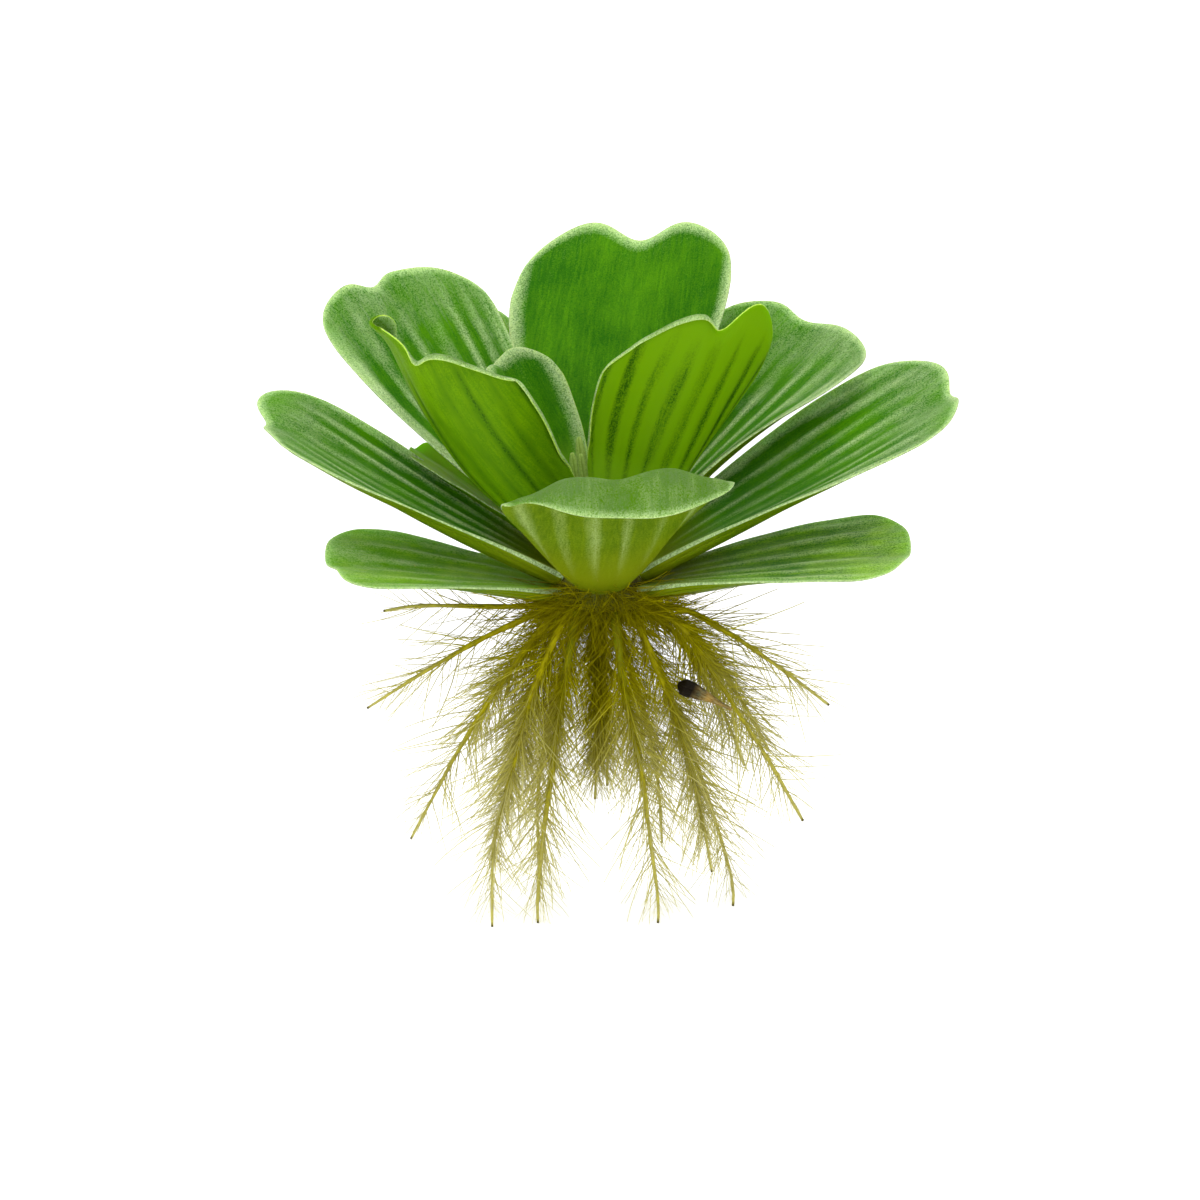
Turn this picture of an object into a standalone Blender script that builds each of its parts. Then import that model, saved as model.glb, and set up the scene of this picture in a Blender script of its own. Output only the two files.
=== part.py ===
"""Water lettuce: a floating rosette of ribbed, notched leaves on a short crown, with feathery roots.

The plant is built upright, as it grows. The origin is under the middle of the plant, level with the
tips of its longest roots, which have flat ends. Sizes in the tables are in millimetres and degrees.
"""

import math
import random

import bmesh
import bpy
from mathutils import Matrix, Vector

MM = 0.001
SEED = 11

# The crown is a short turned stem: (radius, height) from its foot to its top
CROWN_AXIS = Vector((-1.5, 0.0, 0.0))
CROWN_PROFILE = [(4.0, 61.5), (8.6, 63.4), (10.2, 66.2), (9.8, 70.0), (8.2, 74.5), (6.2, 78.5), (4.2, 82.5),
                 (2.4, 85.0)]
CROWN_STEPS = 14
JOIN_GAP = 0.45

# Buds in the heart: (x, y, z) of the foot, length, width and lean to the right in degrees
BUDS = {
    "bud_low": ((-3.2, -4.2, 84.6), 5.0, 2.8, 10),
    "bud_middle": ((-5.6, -1.6, 86.0), 5.4, 3.0, -14),
    "bud_high": ((-2.2, -0.6, 86.2), 7.4, 3.2, 4),
}

# Blade defaults. Angles are in degrees, lengths in millimetres.
# azimuth 0 points right, 90 to the back. rise is the slope of the midrib above level. A smaller swell
# widens the blade sooner from its foot, and a larger round makes its end blunter.
BLADE = {
    "azimuth": 0, "sweep": 0, "seat": 74.0, "rise": 30, "rise_tip": 24, "length": 70, "width": 40,
    "foot": 9.0, "swell": 0.66, "widest": 0.72, "shoulder": 0.74, "round": 2.4, "notch": 0.03,
    "notch_at": 0.0, "notch_width": 0.22, "tilt": 0.0, "skew": 0.0, "roll": 0, "roll_tip": None,
    "cup": 40, "cup_tip": 30, "curl": 0, "curl_from": 0.8, "lobe": 1.0, "rib": 0.45, "thick_foot": 2.8,
    "thick_blade": 1.3, "thick_edge": 0.8, "columns": 10, "rows": 6,
}

LEAVES = {
    "leaf_back_tall": {"azimuth": 80, "sweep": -9, "seat": 80.5, "rise": 70, "rise_tip": 61, "length": 77.4,
                       "width": 52, "foot": 6, "swell": 1.25, "widest": 0.74, "shoulder": 0.72,
                       "round": 2.3, "notch": 0.08, "notch_at": -0.02, "notch_width": 0.3, "tilt": 0.03,
                       "skew": 0.03, "roll": -5, "cup": 30, "cup_tip": 14, "rows": 7},
    "leaf_back_pale": {"azimuth": 109, "sweep": 7, "seat": 74.2, "rise": 54, "rise_tip": 50, "length": 72,
                       "width": 24, "foot": 6, "swell": 0.8, "thick_foot": 2.6, "columns": 8},
    "leaf_back_left": {"azimuth": 156, "sweep": -10, "seat": 78.4, "rise": 51, "rise_tip": 56, "length": 74,
                       "width": 42, "foot": 6.2, "swell": 0.75, "widest": 0.9, "shoulder": 0.76,
                       "round": 2.2, "notch": 0.05, "notch_at": 0.3, "notch_width": 0.16, "tilt": 0.05,
                       "skew": 0.18, "roll": -25, "roll_tip": -34, "cup": 34, "cup_tip": 18,
                       "thick_foot": 2.0, "rows": 7},
    "leaf_back_right": {"azimuth": 32, "seat": 78.4, "rise": 49.5, "rise_tip": 41, "length": 69.5,
                        "width": 44, "foot": 4.4, "swell": 1.15, "notch_at": 0.15, "roll": 3,
                        "roll_tip": 30},
    "leaf_inner_left": {"azimuth": 223, "sweep": -8, "seat": 78.5, "rise": 28, "rise_tip": 60, "length": 59,
                        "width": 46, "foot": 6, "swell": 0.8, "shoulder": 0.6, "notch": 0.1,
                        "notch_at": -0.05, "tilt": -0.24, "skew": 0.17, "roll": 15, "roll_tip": 5,
                        "cup": 80, "cup_tip": 50, "curl": 40, "curl_from": 0.88},
    "leaf_inner_right": {"azimuth": 313.5, "seat": 80.1, "rise": 60, "rise_tip": 55, "length": 56,
                         "width": 45, "foot": 5, "shoulder": 0.46, "round": 1.9, "notch": 0.15,
                         "notch_at": 0.12, "notch_width": 0.17, "tilt": 0.16, "skew": 0.1, "roll": -8,
                         "roll_tip": -10, "cup": 62, "cup_tip": 24, "curl": 20, "curl_from": 0.88,
                         "rows": 7},
    "leaf_inner_small": {"azimuth": 172, "seat": 83.5, "rise": 68, "rise_tip": 58, "length": 39,
                         "width": 23, "foot": 3.6, "widest": 0.82, "roll": -20, "roll_tip": -30, "cup": 90,
                         "cup_tip": 50, "thick_foot": 1.8, "columns": 8, "rows": 5},
    "leaf_front": {"azimuth": 274, "seat": 70.3, "rise": 32, "rise_tip": 16, "length": 56, "width": 46,
                   "foot": 12, "shoulder": 0.72, "round": 2.0, "notch": 0.0, "roll": 6, "cup": 50,
                   "cup_tip": -30, "curl": 115, "curl_from": 0.73, "lobe": 2.2, "rows": 7},
    "leaf_left": {"azimuth": 188, "seat": 72.6, "rise": 24, "rise_tip": 32.5, "length": 69.5, "width": 34,
                  "foot": 8.8, "widest": 0.6, "tilt": -0.03, "skew": 0.06, "roll": -18, "roll_tip": -30,
                  "cup": 34, "cup_tip": 28, "curl": 30, "curl_from": 0.85},
    "leaf_left_behind": {"azimuth": 160, "seat": 75.75, "rise": 40.5, "rise_tip": 35, "length": 41,
                         "width": 13, "foot": 2.4, "swell": 1.5, "notch": 0.0, "roll": -10, "roll_tip": -14,
                         "cup": 30, "thick_foot": 1.4, "columns": 8, "rows": 5},
    "leaf_right": {"azimuth": 354.6, "seat": 73.5, "rise": 27.5, "rise_tip": 31.5, "length": 75,
                   "width": 41, "foot": 9.5, "widest": 0.62, "tilt": 0.03, "skew": 0.15, "roll": 18,
                   "roll_tip": 32, "cup": 34, "cup_tip": 15, "rows": 7},
    "leaf_low_left": {"azimuth": 194, "seat": 69.2, "rise": 7, "rise_tip": 4, "length": 48, "width": 31,
                      "notch": 0.02, "notch_at": 0.35, "roll": -16, "roll_tip": -26, "cup": 18,
                      "cup_tip": 16},
    "leaf_low_right": {"azimuth": 347, "sweep": 2, "seat": 70.0, "rise": 9, "rise_tip": 3.6, "length": 55.3,
                       "width": 34, "notch": 0.0, "roll": 16, "roll_tip": 26, "cup": 16, "cup_tip": 14},
    "leaf_low_back": {"azimuth": 91, "seat": 71, "rise": 12, "rise_tip": 10, "length": 52, "width": 34,
                      "foot": 8, "columns": 8, "rows": 5},
    "leaf_low_back_left": {"azimuth": 144, "seat": 68.4, "rise": 3, "rise_tip": 3, "length": 47,
                           "width": 30, "roll": -10, "columns": 8, "rows": 5},
    "leaf_low_back_right": {"azimuth": 39.5, "seat": 68.8, "rise": 3, "rise_tip": 3, "length": 47,
                            "width": 30, "roll": 6, "columns": 8, "rows": 5},
    "leaf_behind_right": {"azimuth": 61, "seat": 74.6, "rise": 40, "rise_tip": 34, "length": 54,
                          "width": 20, "foot": 6.5, "thick_foot": 2.4, "columns": 8, "rows": 5},
}

# Main roots. Each route runs from the crown to the tip; the first point is worked out from the crown.
# Five of them end upright, and what lies below LEVEL_TIP is made flat at height 0: the plant rests there.
ROOT_RADIUS = 0.75
ROOT_TIP_RADIUS = 0.42
LEVEL_TIP = 0.4
ROOTS = {
    "root_01": [(-21, 1, 64.8), (-38.8, 0, 65.0), (-47.0, -1, 63.9)],
    "root_02": [(-16.6, -4, 62.6), (-26.2, -4, 58.1), (-37.3, -4, 51.8), (-50.2, -4, 43.6)],
    "root_03": [(-13.8, -8, 60.0), (-22.6, -11, 48.3), (-30.8, -13, 35.1), (-40.5, -14, 17.0)],
    "root_04": [(-11, -11, 58), (-16, -15, 45.6), (-18.9, -20, 33.6), (-22.8, -24, 18.4), (-23.4, -25, 7),
                (-23.4, -25, 0)],
    "root_05": [(-7.8, -9, 56.0), (-10.4, -12, 40.4), (-11.7, -14, 29.6), (-13.1, -17, 18.7), (-14.3, -17, 6),
                (-14.3, -17, 0)],
    "root_06": [(2.6, -10, 53.2), (4.8, -13, 41.3), (6.9, -16, 31.1), (8.7, -17, 17.2), (10.3, -17, 5),
                (10.3, -17, 0)],
    "root_07": [(9, -6, 55), (13, -5, 45), (18.3, -4, 27.4), (21.8, -4, 9.4)],
    "root_08": [(8.2, 9, 57.0), (11.9, 12, 49.1), (18.4, 16, 32.9), (22.1, 18, 22.3), (26.2, 21, 8.9),
                (27.2, 21, 3.5), (27.2, 21, 0)],
    "root_09": [(14.8, -6, 61.0), (22.0, -6, 51.0), (29.4, -6, 39.3), (34.0, -6, 32.1), (40.7, -6, 20.2)],
    "root_10": [(16.9, -1, 63.9), (27.1, -2, 58.2), (37.6, -2, 50.9), (46.4, -2, 44.2)],
    "root_11": [(14.5, 6, 62.0), (19.7, 7, 57.7), (27.9, 8, 45.8), (34.3, 8, 34.3)],
    "root_12": [(-12, 1, 56), (-17, -1, 42), (-20, -2, 30), (-21, -2, 19)],
    "root_13": [(-2.4, 6, 56), (-2, 5, 42), (-2.4, 6, 32), (-2.6, 7, 24)],
    "root_14": [(-8, 12, 55), (-12, 19, 42), (-15, 26, 25), (-15, 30, 8), (-15, 30, 0)],
    "root_15": [(4, 13, 54), (8, 20, 42), (11, 27, 27), (12, 30, 13)],
    "root_16": [(-1, 16, 58), (-1, 27, 47), (0, 36, 34), (0, 40, 25)],
    "root_17": [(-13, 9, 60), (-20, 15, 52), (-26, 21, 43), (-30, 25, 35)],
    "root_18": [(13.5, 10, 60), (20, 19, 51), (26, 25, 40), (30, 30, 30)],
}
WHORLS = 10
WHORL_LENGTH = 1.5
ROOTLET_LENGTH = 9.0
ROOTLET_ANGLE = 48
ROOTLET_CLEAR = 1.3
ROOTLET_LOWEST = 1.2
ROOTLET_HIGHEST = 64.0

# The withered scrap: foot, tip and width
SCRAP_FROM = Vector((14.6, -11.5, 49.0))
SCRAP_TO = Vector((25.6, -11.0, 43.6))
SCRAP_WIDTH = 5.0

COLOURS = {
    "crown": (0.17, 0.20, 0.03, 1.0),
    "bud": (0.46, 0.60, 0.32, 1.0),
    "leaf": (0.07, 0.24, 0.03, 1.0),
    "root": (0.31, 0.28, 0.03, 1.0),
    "scrap": (0.07, 0.04, 0.01, 1.0),
}


def smooth(x):
    x = min(max(x, 0.0), 1.0)
    return x * x * (3.0 - 2.0 * x)


def lerp(a, b, t):
    return a + (b - a) * t


def leaf_sizes(name):
    leaf = dict(BLADE)
    leaf.update(LEAVES[name])
    if leaf["roll_tip"] is None:
        leaf["roll_tip"] = leaf["roll"]
    return leaf


def crown_radius(z):
    for (r0, z0), (r1, z1) in zip(CROWN_PROFILE, CROWN_PROFILE[1:]):
        if z <= z1:
            return lerp(r0, r1, max(0.0, (z - z0) / (z1 - z0)))
    return CROWN_PROFILE[-1][0]


def heading(azimuth, rise):
    a, e = math.radians(azimuth), math.radians(rise)
    return Vector((math.cos(e) * math.cos(a), math.cos(e) * math.sin(a), math.sin(e)))


def midrib(leaf, steps=48):
    """Points and axes (along, across, up) down the middle of a leaf, from its foot to its tip."""
    a = math.radians(leaf["azimuth"])
    half_foot = 0.5 * leaf["thick_foot"] * math.sin(math.radians(leaf["rise"]))
    reach = crown_radius(leaf["seat"]) + JOIN_GAP + half_foot
    point = CROWN_AXIS + Vector((reach * math.cos(a), reach * math.sin(a), leaf["seat"]))
    line = []
    for i in range(steps + 1):
        t = i / steps
        curl = leaf["curl"] * smooth((t - leaf["curl_from"]) / (1.0 - leaf["curl_from"]))
        azimuth = leaf["azimuth"] + leaf["sweep"] * t
        along = heading(azimuth, lerp(leaf["rise"], leaf["rise_tip"], smooth(t)) - curl)
        b = math.radians(azimuth)
        across = Vector((-math.sin(b), math.cos(b), 0.0))
        up = along.cross(across)
        turn = Matrix.Rotation(math.radians(lerp(leaf["roll"], leaf["roll_tip"], smooth(t))), 3, along)
        line.append((point.copy(), along, turn @ across, turn @ up))
        point = point + along * (leaf["length"] / steps)
    return line


def on_midrib(line, t):
    s = min(max(t, 0.0), 1.0) * (len(line) - 1)
    i = min(int(s), len(line) - 2)
    return [lerp(a, b, s - i) for a, b in zip(line[i], line[i + 1])]


def tip_reach(leaf, u):
    """How far along the midrib the edge lies at u, from -1 on one side to 1 on the other."""
    round_end = (1.0 - abs(u) ** leaf["round"]) ** (1.0 / leaf["round"])
    dip = leaf["notch"] * math.exp(-((u - leaf["notch_at"]) / leaf["notch_width"]) ** 2)
    return leaf["shoulder"] + (1.0 - leaf["shoulder"]) * round_end + leaf["tilt"] * u * round_end - dip


def half_width(leaf, t):
    """The blade widens from its foot to its widest place, then narrows a little."""
    grow = math.sin(0.5 * math.pi * min(1.0, t / leaf["widest"])) ** leaf["swell"]
    past = max(0.0, t - leaf["widest"]) / (1.0 - leaf["widest"])
    return 0.5 * lerp(leaf["foot"], leaf["width"], grow) * (1.0 - 0.06 * past * past)


def blade_point(leaf, line, u, v):
    """A point of the upper face: cupped across, ribbed along, with a fold between the two lobes."""
    t = v * tip_reach(leaf, u)
    point, along, across, up = on_midrib(line, t)
    half = half_width(leaf, t) * (1.0 + leaf["skew"] * u)
    cup = math.radians(lerp(leaf["cup"], leaf["cup_tip"], t))
    if abs(cup) < 0.01:
        cup = 0.01
    side = half * math.sin(cup * u) / cup
    lift = half * (1.0 - math.cos(cup * u)) / cup
    ribs = leaf["rib"] * math.cos(0.5 * math.pi * leaf["columns"] * u)
    ribs *= smooth(t * 4.0) * (1.0 - 0.6 * t) * (1.0 - u * u)
    lobes = leaf["lobe"] * (math.cos(2.0 * math.pi * u) - 1.0) * smooth((t - 0.4) / 0.6)
    return point + across * side + up * (lift - ribs - lobes * (1.0 - abs(u)))


def blade_thickness(leaf, u, v):
    """Spongy at the foot, thin in the blade and thinnest at the edge."""
    if v > 0.99:
        return leaf["thick_edge"]
    body = lerp(leaf["thick_foot"], leaf["thick_blade"], smooth(v * 1.6))
    return lerp(body, leaf["thick_edge"], abs(u) ** 3 * (0.4 + 0.6 * v))


def new_material(name, colour, roughness):
    material = bpy.data.materials.new(name)
    material.use_nodes = True
    shader = material.node_tree.nodes["Principled BSDF"]
    shader.inputs["Base Color"].default_value = colour
    shader.inputs["Roughness"].default_value = roughness
    material.diffuse_color = colour
    return material


def add_object(name, mesh, colour, roughness, parts):
    mesh.materials.append(new_material(name, COLOURS[colour], roughness))
    mesh.shade_smooth()
    piece = bpy.data.objects.new(name, mesh)
    parts.objects.link(piece)
    return piece


def make_leaf(name, parts):
    """A blade is a grid laid over the midrib, then given its thickness by Solidify."""
    leaf = leaf_sizes(name)
    line = midrib(leaf)
    bm = bmesh.new()
    bmesh.ops.create_grid(bm, x_segments=leaf["columns"], y_segments=leaf["rows"], size=1.0)
    layer = bm.verts.layers.deform.new()
    thickest = max(leaf["thick_foot"], leaf["thick_blade"])
    for vert in bm.verts:
        u, v = vert.co.x, 0.5 * (vert.co.y + 1.0)
        v = 1.0 - (1.0 - v) ** 1.25
        vert[layer][0] = blade_thickness(leaf, u, v) / thickest
        vert.co = blade_point(leaf, line, u, v) * MM
    bmesh.ops.recalc_face_normals(bm, faces=bm.faces)
    middle = on_midrib(line, 0.5)[3]
    bm.faces.ensure_lookup_table()
    if sum(f.normal.dot(middle) for f in bm.faces) < 0.0:
        bmesh.ops.reverse_faces(bm, faces=bm.faces)
    mesh = bpy.data.meshes.new(name)
    bm.to_mesh(mesh)
    bm.free()
    piece = add_object(name, mesh, "leaf", 0.55, parts)
    piece.vertex_groups.new(name="thickness")
    wall = piece.modifiers.new("Solidify", "SOLIDIFY")
    wall.thickness = thickest * MM
    wall.offset = -1.0
    wall.vertex_group = "thickness"
    wall.use_even_offset = False
    return piece


def make_crown(parts):
    mesh = bpy.data.meshes.new("crown")
    bm = bmesh.new()
    points = [(0.0, CROWN_PROFILE[0][1])] + CROWN_PROFILE + [(0.0, CROWN_PROFILE[-1][1] + 0.6)]
    verts = [bm.verts.new((r * MM, 0.0, z * MM)) for r, z in reversed(points)]
    for a, b in zip(verts, verts[1:]):
        bm.edges.new((a, b))
    bm.to_mesh(mesh)
    bm.free()
    crown = add_object("crown", mesh, "crown", 0.7, parts)
    crown.location = CROWN_AXIS * MM
    screw = crown.modifiers.new("Screw", "SCREW")
    screw.steps = CROWN_STEPS
    screw.render_steps = CROWN_STEPS
    screw.use_merge_vertices = True
    screw.merge_threshold = 0.00001
    return crown


def make_bud(name, parts):
    (x, y, z), length, width, lean = BUDS[name]
    bm = bmesh.new()
    bmesh.ops.create_uvsphere(bm, u_segments=8, v_segments=5, radius=1.0)
    turn = Matrix.Rotation(math.radians(lean), 4, "Y")
    for vert in bm.verts:
        pinch = 1.0 - 0.35 * smooth(0.5 * (vert.co.z + 1.0))
        side, front = vert.co.x * pinch * width * 0.5, vert.co.y * pinch * width * 0.4
        vert.co = (turn @ Vector((side, front, (vert.co.z + 1.0) * length * 0.5)) + Vector((x, y, z))) * MM
    mesh = bpy.data.meshes.new(name)
    bm.to_mesh(mesh)
    bm.free()
    return add_object(name, mesh, "bud", 0.6, parts)


def root_start(first):
    """Where a root leaves the crown, on the side that faces its first point."""
    away = Vector((first[0], first[1], 0.0)) - CROWN_AXIS
    steep = smooth((65.0 - first[2]) / 12.0)
    z = lerp(65.2, 62.8, steep)
    out = away.normalized()
    reach = crown_radius(z) + JOIN_GAP + ROOT_RADIUS * (0.2 + 0.8 * steep)
    return CROWN_AXIS + Vector((out.x * reach, out.y * reach, z))


def root_route(name):
    """Points down a root: a smooth line through its own points, short steps where rootlets grow."""
    own = [Vector(p) for p in ROOTS[name]]
    own.insert(0, root_start(ROOTS[name][0]))
    fine = []
    for i in range(len(own) - 1):
        p0, p1, p2, p3 = own[max(i - 1, 0)], own[i], own[i + 1], own[min(i + 2, len(own) - 1)]
        for k in range(12):
            t = k / 12.0
            fine.append(0.5 * ((2.0 * p1) + (p2 - p0) * t + (2.0 * p0 - 5.0 * p1 + 4.0 * p2 - p3) * t * t
                               + (3.0 * p1 - 3.0 * p2 + p3 - p0) * t ** 3))
    fine.append(own[-1])
    lengths = [0.0]
    for a, b in zip(fine, fine[1:]):
        lengths.append(lengths[-1] + (b - a).length)
    total = lengths[-1]
    step = (total - 3.0) / WHORLS
    stops = [0.0]
    for i in range(WHORLS):
        stops.append(step * (i + 0.75))
        stops.append(step * (i + 0.75) + WHORL_LENGTH)
    stops.append(total)
    route = []
    for stop in stops:
        k = max(i for i, d in enumerate(lengths[:-1]) if d <= stop)
        route.append(fine[k].lerp(fine[k + 1], (stop - lengths[k]) / (lengths[k + 1] - lengths[k])))
    return route


def gap_between(p1, q1, p2, q2):
    """Shortest distance between two straight pieces of line."""
    d1, d2, r = q1 - p1, q2 - p2, p1 - p2
    a, e, f = d1.dot(d1), d2.dot(d2), d2.dot(r)
    c, b = d1.dot(r), d1.dot(d2)
    denominator = a * e - b * b
    s = min(max((b * f - c * e) / denominator, 0.0), 1.0) if denominator > 1e-9 else 0.0
    t = min(max((b * s + f) / e, 0.0), 1.0)
    s = min(max((b * t - c) / a, 0.0), 1.0)
    return (p1 + d1 * s - p2 - d2 * t).length


def make_root(name, routes, taken, parts):
    """A tapered tube with its side rootlets pulled out of its faces."""
    route = routes[name]
    rng = random.Random(SEED + int(name[-2:]))
    curve = bpy.data.curves.new(name, "CURVE")
    curve.dimensions = "3D"
    curve.bevel_depth = MM
    curve.bevel_resolution = 0
    curve.use_fill_caps = True
    spline = curve.splines.new("POLY")
    spline.points.add(len(route) - 1)
    for i, point in enumerate(route):
        spline.points[i].co = (*(point * MM), 1.0)
        spline.points[i].radius = lerp(ROOT_RADIUS, ROOT_TIP_RADIUS, i / (len(route) - 1))
        spline.points[i].tilt = 0.4 * (i // 2)
    guide = bpy.data.objects.new(name + "_guide", curve)
    parts.objects.link(guide)
    mesh = bpy.data.meshes.new_from_object(guide.evaluated_get(bpy.context.evaluated_depsgraph_get()))
    bpy.data.objects.remove(guide)
    bm = bmesh.new()
    bm.from_mesh(mesh)
    bmesh.ops.remove_doubles(bm, verts=bm.verts, dist=0.00002)
    bmesh.ops.recalc_face_normals(bm, faces=bm.faces)
    for vert in bm.verts:
        if vert.co.z < LEVEL_TIP * MM:
            vert.co.z = 0.0
    others = [(a, b) for other in routes if other != name for a, b in zip(routes[other], routes[other][1:])]
    own = []
    for whorl in range(WHORLS):
        here, there = route[2 * whorl + 1], route[2 * whorl + 2]
        middle, along = here.lerp(there, 0.5), (there - here).normalized()
        near = [f for f in bm.faces if (f.calc_center_median() / MM - middle).length < 0.6 * WHORL_LENGTH]
        sides = [f for f in near if len(f.verts) == 4 and abs(f.normal.dot(along)) < 0.5]
        part_way = (whorl + 0.5) / WHORLS
        length = ROOTLET_LENGTH * math.sin(math.pi * (0.12 + 0.80 * part_way)) ** 0.7
        for side in sides:
            foot = side.calc_center_median() / MM
            angle = math.radians(ROOTLET_ANGLE + rng.uniform(-10, 10))
            reach = length * rng.uniform(0.75, 1.1)
            tip = foot + (side.normal * math.sin(angle) + along * math.cos(angle)) * reach
            if not ROOTLET_LOWEST < tip.z < ROOTLET_HIGHEST:
                continue
            if any(gap_between(foot, tip, a, b) < ROOTLET_CLEAR for a, b in others + taken):
                continue
            own.append((foot, tip))
            centre = bmesh.ops.poke(bm, faces=[side])["verts"][0]
            centre.co = tip * MM
    taken.extend(own)
    bmesh.ops.recalc_face_normals(bm, faces=bm.faces)
    bm.to_mesh(mesh)
    bm.free()
    mesh.materials.clear()
    return add_object(name, mesh, "root", 0.6, parts)


def make_scrap(parts):
    """A dead scrap of leaf, curled into a pointed scroll."""
    bm = bmesh.new()
    along = SCRAP_TO - SCRAP_FROM
    bmesh.ops.create_cone(bm, cap_ends=True, segments=7, radius1=1.0, radius2=0.18, depth=1.0)
    long_edges = [e for e in bm.edges if abs(e.verts[0].co.z - e.verts[1].co.z) > 0.5]
    bmesh.ops.subdivide_edges(bm, edges=long_edges, cuts=2)
    turn = along.to_track_quat("Z", "Y")
    for vert in bm.verts:
        angle = math.atan2(vert.co.y, vert.co.x)
        crease = 1.0 + 0.22 * math.sin(3.0 * angle + 5.0 * vert.co.z)
        flat = Vector((vert.co.x * SCRAP_WIDTH * 0.5 * crease, vert.co.y * SCRAP_WIDTH * 0.34 * crease,
                       (vert.co.z + 0.5) * along.length))
        vert.co = (turn @ flat + SCRAP_FROM) * MM
    mesh = bpy.data.meshes.new("withered_scrap")
    bm.to_mesh(mesh)
    bm.free()
    return add_object("withered_scrap", mesh, "scrap", 0.8, parts)


def main():
    for old in list(bpy.data.objects):
        bpy.data.objects.remove(old)
    parts = bpy.data.collections.new("water_lettuce")
    bpy.context.scene.collection.children.link(parts)
    make_crown(parts)
    for name in BUDS:
        make_bud(name, parts)
    for name in LEAVES:
        make_leaf(name, parts)
    routes = {name: root_route(name) for name in ROOTS}
    taken = []
    for name in ROOTS:
        make_root(name, routes, taken, parts)
    make_scrap(parts)


main()
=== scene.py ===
"""Water lettuce: the finish of every leaf, bud and root, laid over the packed model.

The leaf and root tables hold the model's own driving sizes, in millimetres and degrees. The buds are
2.0 to 2.5 times as tall here as in the model, and leaf_back_right, leaf_inner_left, leaf_front and
leaf_left_behind differ from it in a few values. Lips are only here. Run it in Blender as a script.
"""

import math

import bmesh
import bpy
from bpy.props import FloatProperty, FloatVectorProperty, IntProperty, PointerProperty
from mathutils import Matrix, Vector, noise


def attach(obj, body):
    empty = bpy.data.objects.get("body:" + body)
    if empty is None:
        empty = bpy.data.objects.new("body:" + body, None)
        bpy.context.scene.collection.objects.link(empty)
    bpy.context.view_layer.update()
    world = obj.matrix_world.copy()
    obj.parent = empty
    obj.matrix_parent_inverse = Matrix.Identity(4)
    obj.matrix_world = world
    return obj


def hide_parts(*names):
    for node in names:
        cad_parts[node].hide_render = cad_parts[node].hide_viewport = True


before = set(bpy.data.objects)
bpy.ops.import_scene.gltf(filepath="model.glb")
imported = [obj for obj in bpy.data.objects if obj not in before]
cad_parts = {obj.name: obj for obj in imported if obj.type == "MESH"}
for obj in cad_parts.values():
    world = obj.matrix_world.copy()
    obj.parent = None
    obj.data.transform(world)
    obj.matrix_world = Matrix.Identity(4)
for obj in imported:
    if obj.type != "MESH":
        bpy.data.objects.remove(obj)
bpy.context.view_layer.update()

bl_info = {
    "name": "Water Lettuce",
    "version": (1, 0, 0),
    "blender": (4, 5, 0),
    "location": "View3D > Sidebar > Water Lettuce",
    "description": "A floating rosette of velvety leaves with a beard of feathery roots",
    "category": "Add Mesh",
}

MM = 0.001

# The crown: (radius, height) from its foot to its top, in millimetres
CROWN_AXIS = Vector((-1.5, 0.0, 0.0))
CROWN_PROFILE = [(4.0, 61.5), (8.6, 63.4), (10.2, 66.2), (9.8, 70.0), (8.2, 74.5), (6.2, 78.5), (4.2, 82.5),
                 (2.4, 85.0)]
JOIN_GAP = 0.45

# Buds in the heart: foot, tip and width
BUDS = {
    "bud_low": ((-3.6, -3.4, 84.4), (-5.6, -5.4, 96.7), 3.2),
    "bud_middle": ((-5.6, -1.6, 86.0), (-7.4, -3.4, 97.0), 3.0),
    "bud_high": ((-4.0, -0.8, 86.0), (-6.0, -2.4, 100.4), 3.6),
}

# Blade defaults. azimuth 0 points right, 90 to the back; rise is the slope of the midrib above level.
# ridges is the number of pleats across. lips are stretches of margin that are rolled back: (from and to
# across, width at the side and at the end as shares, turn in degrees, where it starts along the blade).
BLADE = dict(
    azimuth=0, sweep=0, seat=74.0, rise=30, rise_tip=24, length=70, width=40, foot=9.0, swell=0.66,
    widest=0.72, shoulder=0.74, notch=0.03, notch_at=0.0, notch_width=0.22, round=2.4, skew=0.0, tilt=0.0,
    roll=0, roll_tip=None, cup=40, cup_tip=30, curl=0, curl_from=0.8, lobe=1.0, thick_foot=2.8, ridges=8,
    ridge=1.0, lips=(), upper="upper_ridged", under="under_plain", rim="rim_hoary")

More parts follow.
